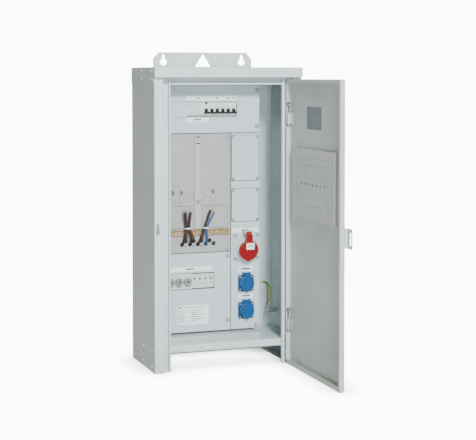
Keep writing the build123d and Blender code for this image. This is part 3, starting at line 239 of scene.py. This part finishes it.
def dress(material, *names):
    """Give the material to every slot of the named pieces of the frame."""
    for name in names:
        mesh = nodes[name].data
        mesh.materials.clear()
        mesh.materials.append(material)


coated_steel = coated_steel_effect()
case_coat = finish_from(
    "case_coat",
    coated_steel,
    {"Coat": (0.60, 0.68, 0.69, 1), "Drift": (0.56, 0.64, 0.65, 1), "Wear": 0.15, "Grime": 0.45},
    Metallic=0.0,
    Specular_IOR_Level=0.45,
)
dress(case_coat, "side_wall_left", "side_wall_right", "rear_wall", "roof")
dress(case_coat, "lintel", "floor_tray", "foot_angles")


# Screws, rails, pins and hinges: zinc plated steel, dull grey with a faint
# spangle, some tarnish and fine turning marks. The rivets carry the case's coat,
# painted far paler than the case's as a painted highlight on their heads, and
# the panel uprights are galvanised strip.
def zinc_effect():
    """Zinc plating: spangle, tarnish and fine turning marks."""
    tree, inlet, outlet = effect(
        "zinc_plate",
        [
            ("Bright", "NodeSocketColor", (0.66, 0.66, 0.65, 1)),
            ("Dull", "NodeSocketColor", (0.40, 0.40, 0.40, 1)),
        ],
    )
    flat = place_on_object(tree, (1, 1, 1))
    spangle = add(tree, "ShaderNodeTexVoronoi", in_Scale=220.0)
    tree.links.new(flat, spangle.inputs["Vector"])
    cell = rescale(tree, spangle.outputs["Distance"], 0.0, 0.9)
    tarnish = rescale(tree, noise(tree, flat, 60.0, 4.0), 0.35, 0.7)
    mark = noise(tree, place_on_object(tree, (1, 1, 8)), 700.0, 2.0)
    tarnish = math_node(tree, "MULTIPLY", tarnish, 0.8)
    color = mix_color(tree, tarnish, inlet.outputs["Bright"], inlet.outputs["Dull"])
    rough = math_node(tree, "ADD", math_node(tree, "MULTIPLY", cell, 0.12), 0.32)
    tree.links.new(color, outlet.inputs["Color"])
    tree.links.new(rough, outlet.inputs["Roughness"])
    tree.links.new(mark, outlet.inputs["Height"])
    return tree


zinc_plate = zinc_effect()
zinc_steel = finish_from(
    "zinc_steel",
    zinc_plate,
    {"Bright": (0.66, 0.67, 0.67, 1), "Dull": (0.42, 0.43, 0.43, 1)},
    bump_strength=0.15,
    Metallic=0.85,
)
dress(zinc_steel, "panel_screws", "device_rails", "lid_pins", "hinge_brackets", "hinge_barrels")
dark_zinc = finish_from(
    "dark_zinc",
    zinc_plate,
    {"Bright": (0.20, 0.23, 0.23, 1), "Dull": (0.09, 0.10, 0.10, 1)},
    bump_strength=0.15,
    Metallic=0.8,
)
dress(dark_zinc, "hinge_pins")
# The rivets' coat is painted far paler than the case's: a painted highlight on their heads.
rivet_coat_painted_highlight = finish_from(
    "rivet_coat_painted_highlight",
    coated_steel,
    {"Coat": (0.90, 0.90, 0.87, 1), "Drift": (0.80, 0.80, 0.77, 1), "Wear": 0.6, "Grime": 0.3},
    Specular_IOR_Level=0.5,
)
dress(rivet_coat_painted_highlight, "case_rivets")
galvanised = finish_from(
    "galvanised_uprights",
    zinc_plate,
    {"Bright": (0.60, 0.63, 0.63, 1), "Dull": (0.48, 0.51, 0.51, 1)},
    bump_strength=0.15,
    Metallic=0.6,
)
dress(galvanised, "panel_uprights")

# Covers of the inner panel: thin coated sheet pans, a little cooler and
# smoother than the case, held by the turn clips at their edges.
cover_coat = finish_from(
    "cover_coat",
    coated_steel,
    {"Coat": (0.52, 0.60, 0.62, 1), "Drift": (0.47, 0.55, 0.57, 1), "Wear": 0.15, "Grime": 0.0},
    bump_strength=0.15,
    Specular_IOR_Level=0.5,
)
dress(cover_coat, "top_cover", "lower_cover", "socket_column", "blank_covers")


# Label strips and rating plate of the covers: white laminated film, stuck on,
# with plain printed marks. Places are in millimetres across, x, and up, z.
def moulded_effect():
    """Moulded plastic: spark grain, flow clouding and rubbed spots."""
    tree, inlet, outlet = effect(
        "moulded_plastic",
        [
            ("Body", "NodeSocketColor", (0.5, 0.5, 0.5, 1)),
            ("Cloud", "NodeSocketColor", (0.45, 0.45, 0.45, 1)),
            ("Gloss", "NodeSocketFloat", 0.4),
            ("Grain Size", "NodeSocketFloat", 900.0),
        ],
    )
    flat = place_on_object(tree, (1, 1, 1))
    cloud = rescale(tree, noise(tree, flat, 18.0, 3.0), 0.35, 0.7)
    grain = add(tree, "ShaderNodeTexNoise", in_Detail=2.0)
    tree.links.new(flat, grain.inputs["Vector"])
    tree.links.new(inlet.outputs["Grain Size"], grain.inputs["Scale"])
    rubbed = rescale(tree, noise(tree, flat, 45.0, 4.0), 0.5, 0.75)
    color = mix_color(tree, cloud, inlet.outputs["Body"], inlet.outputs["Cloud"])
    rough = math_node(tree, "SUBTRACT", inlet.outputs["Gloss"], math_node(tree, "MULTIPLY", rubbed, 0.08))
    tree.links.new(color, outlet.inputs["Color"])
    tree.links.new(rough, outlet.inputs["Roughness"])
    tree.links.new(grain.outputs["Fac"], outlet.inputs["Height"])
    return tree


moulded_plastic = moulded_effect()


def plastic(name, body, cloud, gloss=0.42, grain=900.0, bump=0.2, **shader):
    """Moulded plastic in one colour."""
    values = {"Body": body + (1,), "Cloud": cloud + (1,), "Gloss": gloss, "Grain Size": grain}
    return finish_from(name, moulded_plastic, values, bump_strength=bump, bump_distance=0.0003, **shader)


def rounded(xs, zs, corner, steps=5):
    """Rounded rectangle as (x, z) points in millimetres."""
    points = []
    turns = ((xs[1], zs[1], 0), (xs[0], zs[1], 90), (xs[0], zs[0], 180), (xs[1], zs[0], 270))
    for x, z, start in turns:
        x += corner if x == xs[0] else -corner
        z += corner if z == zs[0] else -corner
        for step in range(steps + 1):
            angle = math.radians(start + 90 * step / steps)
            points.append((x + corner * math.cos(angle), z + corner * math.sin(angle)))
    return points


def circle(x, z, radius, steps=32):
    """Circle as (x, z) points in millimetres."""
    turns = [2 * math.pi * step / steps for step in range(steps)]
    return [(x + radius * math.cos(turn), z + radius * math.sin(turn)) for turn in turns]


def skin(loops, ring=False):
    """Points and faces over equal loops of ((x, z) outline, y); a ring closes on itself."""
    count = len(loops[0][0])
    points = [(x, y, z) for outline, y in loops for x, z in outline]
    faces = []
    for i in range(len(loops) if ring else len(loops) - 1):
        a, b = i * count, (i + 1) % len(loops) * count
        faces += [(a + j, a + (j + 1) % count, b + (j + 1) % count, b + j) for j in range(count)]
    if not ring:
        faces += [tuple(range(count)), tuple(range((len(loops) - 1) * count, len(loops) * count))]
    return points, faces


def piece(name, parts, material, body="cabinet", turned=Matrix.Identity(4)):
    """One object from several skins, given in millimetres, that rides a body."""
    points, faces = [], []
    for part_points, part_faces in parts:
        faces += [tuple(i + len(points) for i in face) for face in part_faces]
        points += part_points
    mesh = bpy.data.meshes.new(name)
    mesh.from_pydata([tuple(v * 0.001 for v in point) for point in points], [], faces)
    mesh.transform(turned)
    work = bmesh.new()
    work.from_mesh(mesh)
    bmesh.ops.recalc_face_normals(work, faces=work.faces)
    work.to_mesh(mesh)
    work.free()
    mesh.materials.append(material)
    made = bpy.data.objects.new(name, mesh)
    bpy.context.scene.collection.objects.link(made)
    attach(made, body)
    return made


def plate(xs, zs, y, thick, corner=1.0, bevel=0.15, inward=-1):
    """Thin plate on a face at depth y, its front edge bevelled."""
    outer = rounded(xs, zs, corner)
    front_xs, front_zs = (xs[0] + bevel, xs[1] - bevel), (zs[0] + bevel, zs[1] - bevel)
    inner = rounded(front_xs, front_zs, max(corner - bevel, 0.05))
    return skin([(outer, y), (outer, y + inward * (thick - bevel)), (inner, y + inward * thick)])


def frame_ring(outer, inner, y, thick, bevel=0.15):
    """Flat ring between two outlines of equal count."""
    return skin([(outer, y), (outer, y - thick + bevel), (inner, y - thick), (inner, y)], ring=True)


def bars(rectangles, y, thick=0.12, inward=-1):
    """Printed marks: low bars on a face, one per (x, x, z, z)."""
    marks = []
    for left, end, low, high in rectangles:
        corner = min(end - left, high - low) * 0.3
        marks.append(plate((left, end), (low, high), y, thick, corner, 0.04, inward))
    return marks


cover_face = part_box("top_cover")[0].y * 1000
label_white = plastic("label_white", (0.86, 0.88, 0.89), (0.80, 0.82, 0.83), gloss=0.3, bump=0.05)
print_black = plastic("print_black", (0.03, 0.03, 0.035), (0.06, 0.06, 0.065), gloss=0.5, bump=0.05)
film = 0.35
strips = {
    "label_device_row": ((-107, 53), (806, 819.5)),
    "label_main_switch": ((-107, -35), (741, 754)),
    "label_fuse_row": ((-171, -22.4), (286, 300.5)),
    "label_three_phase": ((40.5, 125.6), (399, 412)),
    "label_domestic_upper": ((59.7, 109.1), (277.3, 293.8)),
    "label_domestic_lower": ((59.7, 109.1), (194, 209)),
}
for name, (xs, zs) in strips.items():
    piece(name, [plate(xs, zs, cover_face, film, 0.8)], label_white)
    height = zs[1] - zs[0]
    stations = (0.24, 0.61, 0.84, 0.95) if name == "label_device_row" else (0.5,)
    marks = []
    for share in stations:
        middle = xs[0] + share * (xs[1] - xs[0])
        half = (0.9 if len(stations) == 1 else 0.32) * height
        marks.append((middle - half, middle + half, zs[0] + 0.4 * height, zs[0] + 0.66 * height))
    piece(name + "_marks", bars(marks, cover_face - film), print_black)
rating_xs, rating_zs = (-137.5, -36.5), (123.5, 183)
piece("rating_plate", [plate(rating_xs, rating_zs, cover_face, 0.5, 1.5)], label_white)
rows = [(-134, -122, 175, 179), (-116, -42, 176.5, 177.6)]
for column, widths in ((-134, (20, 27, 15, 30, 22, 26)), (-92, (30, 18, 41, 25, 36, 12))):
    for step, width in enumerate(widths):
        low = 166 - 6.4 * step
        rows.append((column, column + width, low, low + 1.6))
rows.append((-134, -128, 127, 130))
piece("rating_plate_marks", bars(rows, cover_face - 0.5), print_black)

# Painted shade: black rings round the two blanking covers stand for the shade in
# the gaps at their edges, and black rings round the screws at the corners of the
# plates for the shade under the heads. The same black is real rubber in the
# bushes of the meter board.
black_rubber_and_painted_shade = plastic("black_rubber_and_painted_shade", (0.02, 0.021, 0.022), (0.035, 0.036, 0.037), gloss=0.55)
blank_xs, blank_corner = (39, 127), 4
# Black rings hugging each blanking cover: painted shade in the gap at its edge.
for name, zs in (("upper", (559.5, 699)), ("lower", (434, 535))):
    edges = []
    for margin in (1.3, 0.03):
        xs = (blank_xs[0] - margin, blank_xs[1] + margin)
        edges.append(rounded(xs, (zs[0] - margin, zs[1] + margin), blank_corner + margin))
    piece("painted_shade_ring_blank_" + name, [frame_ring(edges[0], edges[1], cover_face, 1.3)], black_rubber_and_painted_shade)


def screw_shade_rings(name, centre_x, centre_z, half_x, half_z, y, bore):
    """Four black rings of painted shade round the screws at the corners of a plate."""
    rings = []
    for x in (centre_x - half_x, centre_x + half_x):
        for z in (centre_z - half_z, centre_z + half_z):
            rings.append(frame_ring(circle(x, z, bore + 1.0), circle(x, z, bore + 0.05), y, 0.7, 0.2))
    piece(name, rings, black_rubber_and_painted_shade)


screw_bore = 3.8
# Painted shade under the screw heads of the blanking covers and the three-phase socket.
screw_shade_rings("screw_shade_rings_blank_upper", 83, 629.25, 38.8, 64.55, cover_face - 2, screw_bore)
screw_shade_rings("screw_shade_rings_blank_lower", 83, 484.5, 38.8, 45.3, cover_face - 2, screw_bore)
screw_shade_rings("screw_shade_rings_three_phase", 85.5, 355.5, 35.5, 35.5, cover_face - 6, screw_bore)

# Meter board: moulded in grey thermoplastic with a fine spark grain, the slotted
# meter rail in a paler one. Black strips in the top grooves of its two fields and
# in the slots of the rail, and dark sheets in its hook pockets, are painted shade;
# black bushes line the holes for the meter tails.
board_grey = plastic("board_grey", (0.37, 0.375, 0.36), (0.33, 0.335, 0.32), gloss=0.5)
rail_grey = plastic("rail_grey", (0.44, 0.45, 0.435), (0.40, 0.41, 0.395), gloss=0.45)
dress(board_grey, "meter_board")
dress(rail_grey, "meter_rail")
ridges = [(-45, 2, 668.2, 669.6), (-153, -123, 589.3, 590.6), (-127, -125, 664, 666), (-149, -147, 644, 646)]
piece("board_ridges", bars(ridges, cover_face, 0.6), board_grey)
# Black strips in the top grooves of the fields: painted shade.
field_groove_painted_shade = [(-181.8, -86.3, 484.9, 485.9), (-56.3, 26.8, 484.9, 485.9)]
piece("field_groove_painted_shade", bars(field_groove_painted_shade, cover_face + 2.1, 1.2), black_rubber_and_painted_shade)
rail_front = cover_face - 5
# Black plates in the rail's two slots and a black ring round its screw hole: painted shade.
slot_shade_plates = [plate((-78.5, -64.1), (z - 1.5, z + 1.5), rail_front + 1.4, 0.7, 0.4) for z in (695.4, 676)]
slot_shade_plates.append(frame_ring(circle(-71.3, 498, 4.9), circle(-71.3, 498, 3.85), rail_front, 0.7, 0.2))
piece("meter_rail_painted_shade", slot_shade_plates, black_rubber_and_painted_shade)
hook_half_width = 3.9
hook_pocket_painted_shade, hook_pads = [], []
for x, z in ((-150.5, 518.0), (-123.5, 518.0), (-22.5, 520.0)):
    xs = (x - hook_half_width, x + hook_half_width)
    hook_pocket_painted_shade.append(plate(xs, (z + 2.4, z + 15.1), cover_face - 0.4, 0.3, 0.5))
    hook_pads.append(plate(xs, (z - 15.1, z - 2.0), cover_face - 0.4, 2.2, 1.2, 0.6))
# Flat dark sheets above the hook pads stand for the hollows of the hook pockets: painted shade.
pocket_shade_grey = plastic("pocket_shade_grey", (0.12, 0.13, 0.13), (0.10, 0.11, 0.11), gloss=0.55)
piece("hook_pocket_painted_shade", hook_pocket_painted_shade, pocket_shade_grey)
piece("hook_pads", hook_pads, rail_grey)
first_hole, hole_z, hole_pitch = -120.7, 369.5, 25.2
bushes = []
for step in range(5):
    bushes.append((first_hole + step * hole_pitch, hole_z))
for step in range(4):
    bushes.append((first_hole + (step + 0.45) * hole_pitch, hole_z + 9.5))
rings = [frame_ring(circle(x, z, 7.0), circle(x, z, 5.5), cover_face, 0.9, 0.3) for x, z in bushes]
piece("board_bushes", rings, black_rubber_and_painted_shade)

# Terminal rail: a rolled steel channel across the lower part of the board, zinc
# plated and passivated yellow.
yellow_passivated = finish_from(
    "yellow_passivated",
    zinc_plate,
    {"Bright": (0.50, 0.38, 0.19, 1), "Dull": (0.30, 0.22, 0.11, 1)},
    bump_strength=0.2,
    Metallic=0.75,
)
dress(yellow_passivated, "terminal_rail")

# Meter tails: stiff cores in black, brown and blue sheaths with their ends
# stripped to bright copper, drawn together by two white nylon ties.
sheath_black = plastic("sheath_black", (0.006, 0.006, 0.008), (0.015, 0.015, 0.017), gloss=0.5, grain=500.0)
sheath_brown = plastic("sheath_brown", (0.105, 0.035, 0.022), (0.07, 0.026, 0.018), gloss=0.38, grain=500.0)
sheath_blue = plastic("sheath_blue", (0.008, 0.09, 0.30), (0.008, 0.07, 0.24), gloss=0.38, grain=500.0)
dress(sheath_black, "meter_tails_black")
dress(sheath_brown, "meter_tails_brown")
dress(sheath_blue, "meter_tails_blue")
bare_copper = finish_from(
    "bare_copper",
    zinc_plate,
    {"Bright": (0.80, 0.62, 0.50, 1), "Dull": (0.60, 0.38, 0.27, 1)},
    bump_strength=0.3,
    Metallic=0.9,
)
dress(bare_copper, "tail_ends")
white_nylon = plastic("white_nylon", (0.80, 0.80, 0.77), (0.74, 0.74, 0.71), gloss=0.35)
dress(white_nylon, "cable_ties")

# Device row: pale moulded housings with black toggles and a black test button,
# snapped on a rail, and a blanking strip that closes the unused modules. Each
# module has a greenish terminal shield, a plated screw and a white circuit tab.
housing_pale = plastic("housing_pale", (0.58, 0.64, 0.61), (0.53, 0.59, 0.56), gloss=0.4)
toggle_black = plastic(
    "toggle_black",
    (0.004, 0.010, 0.008),
    (0.006, 0.014, 0.011),
    gloss=0.5,
    Specular_IOR_Level=0.3,
)
strip_grey = plastic("strip_grey", (0.52, 0.60, 0.62), (0.47, 0.55, 0.57), gloss=0.45)
dress(housing_pale, "residual_current_device", "three_pole_breaker", "single_breakers")
dress(toggle_black, "residual_current_toggle", "three_pole_toggle", "test_button")
dress(toggle_black, "single_toggle_left", "single_toggle_right")
dress(strip_grey, "blanking_strip")
row_z, module = 779.5, 17.7
strip_low, strip_high = (corner * 1000 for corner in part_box("blanking_strip"))
# Black strips in the gaps above and below the blanking strip: painted shade.
strip_gap_painted_shade = [(strip_low.x + 0.4, strip_high.x - 0.2, row_z + z, row_z + z + 0.7) for z in (-23.2, 22.5)]
piece("strip_gap_painted_shade", bars(strip_gap_painted_shade, cover_face + 1.9, 0.9), black_rubber_and_painted_shade)
device_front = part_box("residual_current_device")[0].y * 1000
row_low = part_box("residual_current_device")[0].x * 1000
shield_green = plastic("shield_green", (0.36, 0.43, 0.40), (0.32, 0.39, 0.36), gloss=0.2, bump=0.05)
print_red = plastic("print_red", (0.35, 0.04, 0.04), (0.28, 0.03, 0.03), gloss=0.5, bump=0.05)
screw_head = ((2.1, 0), (2.1, 0.5), (1.7, 0.8))
shields, tabs, red_marks, screws = [], [], [], []
for step in range(9):
    x = row_low + step * module
    shields.append(plate((x + 0.5, x + module - 0.9), (row_z - 21, row_z - 14.5), device_front, 0.6, 0.8))
    if step > 2:
        tabs.append(plate((x + 1.4, x + module - 1.8), (row_z + 9.5, row_z + 17), device_front, 0.4, 0.6))
        red_marks += bars([(x + 3, x + 13, row_z + 13, row_z + 14.2)], device_front - 0.4)
        red_marks += bars([(x + 5, x + 9, row_z + 10.6, row_z + 11.4)], device_front - 0.4)
    middle = x + module / 2 - 0.1
    loops = [(circle(middle, row_z - 17.8, radius), device_front - 0.6 - rise) for radius, rise in screw_head]
    screws.append(skin(loops))
piece("terminal_shields", shields, shield_green)
piece("circuit_tabs", tabs, label_white)
piece("circuit_tab_marks", red_marks, print_red)
piece("terminal_screws", screws, zinc_steel)
rating_lines = [
    (row_low + 6, row_low + 12, row_z + 12, row_z + 14),
    (row_low + 18, row_low + 21, row_z + 12, row_z + 14),
    (row_low + 5, row_low + 40, row_z + 2.4, row_z + 3.0),
    (row_low + 5, row_low + 40, row_z - 9, row_z - 8.4),
]
piece("residual_current_marks", bars(rating_lines, device_front), print_black)

# Lower row: three screw fuses whose glazed caps have a sight glass in the middle,
# and a surge arrester with a green tell-tale in each of its four modules.
glazed_cap = plastic("glazed_cap", (0.27, 0.29, 0.28), (0.20, 0.22, 0.21), gloss=0.2, bump=0.05)
dress(housing_pale, "fuse_base", "surge_arrester")
dress(glazed_cap, "fuse_cap_left", "fuse_cap_middle", "fuse_cap_right")
sight_glass = plastic("sight_glass", (0.05, 0.045, 0.04), (0.09, 0.08, 0.07), gloss=0.08, bump=0.0)
glass_dome = ((3.5, 0.0), (3.5, 0.5), (2.6, 1.0), (1.2, 1.25))
for name in ("left", "middle", "right"):
    low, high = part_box("fuse_cap_" + name)
    x, z, front = 500 * (low.x + high.x), 500 * (low.z + high.z), low.y * 1000
    glass = [(circle(x, z, radius), front + 2.2 - rise) for radius, rise in glass_dome]
    piece("sight_glass_" + name, [skin(glass)], sight_glass, "fuse_cap_" + name)
tell_tale = plastic("tell_tale_green", (0.0, 0.13, 0.075), (0.0, 0.10, 0.055), gloss=0.25, bump=0.05)
surge_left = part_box("surge_arrester")[0].x * 1000
windows, lines = [], []
for step in range(4):
    middle = surge_left + (step + 0.5) * module
    windows.append(plate((middle - 3.1, middle + 3.1), (260.1, 265.4), device_front + 0.8, 0.6, 0.5))
    lines += [(middle - 4.5, middle + 4.5, 269.5, 270.6), (middle - 1.5, middle + 1.5, 251, 252.2)]
    lines.append((middle - 1.0, middle + 1.0, 245, 249.6))
piece("surge_tell_tales", windows, tell_tale)
piece("surge_marks", bars(lines, device_front), print_black)

# Turn clips: small grey mouldings that a quarter turn locks over the edges of
# the covers.
clip_grey = plastic("clip_grey", (0.33, 0.37, 0.38), (0.28, 0.32, 0.33), gloss=0.4)
dress(
    clip_grey,
    "clip_top_upper",
    "clip_top_lower",
    "clip_board_upper",
    "clip_board_lower",
    "clip_lower_upper",
    "clip_lower_bottom",
    "clip_column_bottom",
)

# Three-phase socket: grey flanged body, black insert with its contact tubes and a
# red sprung lid. A white sticker with two plain lines leans with the lid's front.
socket_grey = plastic("socket_grey", (0.52, 0.55, 0.55), (0.47, 0.50, 0.50), gloss=0.4)
lid_red = plastic("lid_red", (0.24, 0.002, 0.004), (0.20, 0.002, 0.003), gloss=0.3, bump=0.1)
insert_black = plastic("insert_black", (0.03, 0.03, 0.03), (0.045, 0.045, 0.045), gloss=0.4)
dress(socket_grey, "three_phase_socket")
dress(lid_red, "three_phase_lid")
dress(insert_black, "three_phase_insert")
lid_axis = Matrix.Translation((0.0855, cover_face * 0.001, 0.35))
leaning = lid_axis @ Matrix.Rotation(math.radians(9), 4, "X") @ lid_axis.inverted()
lid_front = cover_face - 29.4
sticker = [plate((76, 102.5), (353.5, 374), lid_front, 0.3, 1.2)]
piece("lid_sticker", sticker, label_white, "three_phase_lid", leaning)
sticker_marks = [(80, 98, 366, 367.6), (82, 96, 362.5, 363.4)]
piece("lid_sticker_marks", bars(sticker_marks, lid_front - 0.3), print_red, "three_phase_lid", leaning)

# Domestic sockets: two blue square mouldings set in the socket column, each with
# a sprung blue lid on a plated pin.
socket_blue = plastic("socket_blue", (0.004, 0.065, 0.20), (0.004, 0.05, 0.16), gloss=0.32, bump=0.1)
dress(socket_blue, "domestic_sockets", "domestic_lid_upper", "domestic_lid_lower")

# Earth terminal: plated stud, wing nut and lugs, and a lead with a green sheath
# and a yellow stripe along the side that faces out.
dress(zinc_steel, "earth_terminal")
sheath_earth = plastic("sheath_earth", (0.07, 0.24, 0.05), (0.05, 0.19, 0.04), gloss=0.38, grain=500.0)
stripes = sheath_earth.node_tree
facing = add(stripes, "ShaderNodeVectorMath", operation="DOT_PRODUCT")
facing.inputs[1].default_value = (-0.45, -0.85, 0.25)
normal = add(stripes, "ShaderNodeTexCoord")
stripes.links.new(normal.outputs["Normal"], facing.inputs[0])
band = rescale(stripes, facing.outputs["Value"], 0.42, 0.5)
shader = stripes.nodes["Principled BSDF"]
striped = mix_color(stripes, band, shader.inputs["Base Color"].links[0].from_socket, (0.62, 0.50, 0.05, 1))
stripes.links.new(striped, shader.inputs["Base Color"])
dress(sheath_earth, "earth_lead")

# Door: one pan of folded and coated sheet steel on two pin hinges. The hasp is
# coated as the case is, and the staple that it closes over is zinc plated.
door_coat = finish_from(
    "door_coat",
    coated_steel,
    {"Coat": (0.53, 0.56, 0.53, 1), "Drift": (0.48, 0.51, 0.48, 1), "Wear": 0.3, "Grime": 0.3},
    Specular_IOR_Level=0.45,
)
dress(door_coat, "door_pan")
dress(case_coat, "hasp")
dress(zinc_steel, "staple")

# Document pocket: a thin grey plastic tray glued to the inside of the door, with
# a circuit diagram drawn in plain lines, and a grey plate with plain rules above
# it. Both are made as on the closed door and then turned open about its hinge.
pocket_grey = plastic("pocket_grey", (0.52, 0.54, 0.52), (0.49, 0.51, 0.49), gloss=0.5)
dress(pocket_grey, "document_pocket")
hinge = Matrix.Translation((0.19525, -0.2441, 0))
opened = hinge @ Matrix.Rotation(math.radians(89.6), 4, "Z") @ hinge.inverted()
inner_skin, pocket_face = -252.1, -243.1
notice_grey = plastic("notice_grey", (0.13, 0.14, 0.17), (0.11, 0.12, 0.15), gloss=0.35, bump=0.05)
print_grey = plastic("print_grey", (0.20, 0.21, 0.21), (0.17, 0.18, 0.18), gloss=0.5, bump=0.05)
notice = [plate((-38.7, 69.4), (724, 791), inner_skin, 0.4, 1.0, inward=1)]
piece("door_notice", notice, notice_grey, "door", opened)
notice_rows = []
for step in range(8):
    left, end = -34 + 3 * (step % 3), 42 - 6 * (step % 2)
    notice_rows.append((left, end, 762 - 4.6 * step, 763.4 - 4.6 * step))
piece("door_notice_marks", bars(notice_rows, inner_skin + 0.4, inward=1), print_grey, "door", opened)
wires = [(120, 121, 480, 640), (-100, 121, 640, 641), (-100, -99, 500, 641)]
for step in range(7):
    x = -80 + 28 * step
    wires += [(x, x + 0.9, 520 + 6 * (step % 3), 620), (x - 5, x + 6, 560, 566), (x - 3, x + 4, 520, 521)]
wires += [(-90, 110, 619.5, 620.4), (-60, 60, 500, 501), (-60, -59, 470, 501), (20, 21, 470, 501)]
piece("pocket_diagram", bars(wires, pocket_face, 0.15, inward=1), print_grey, "door", opened)
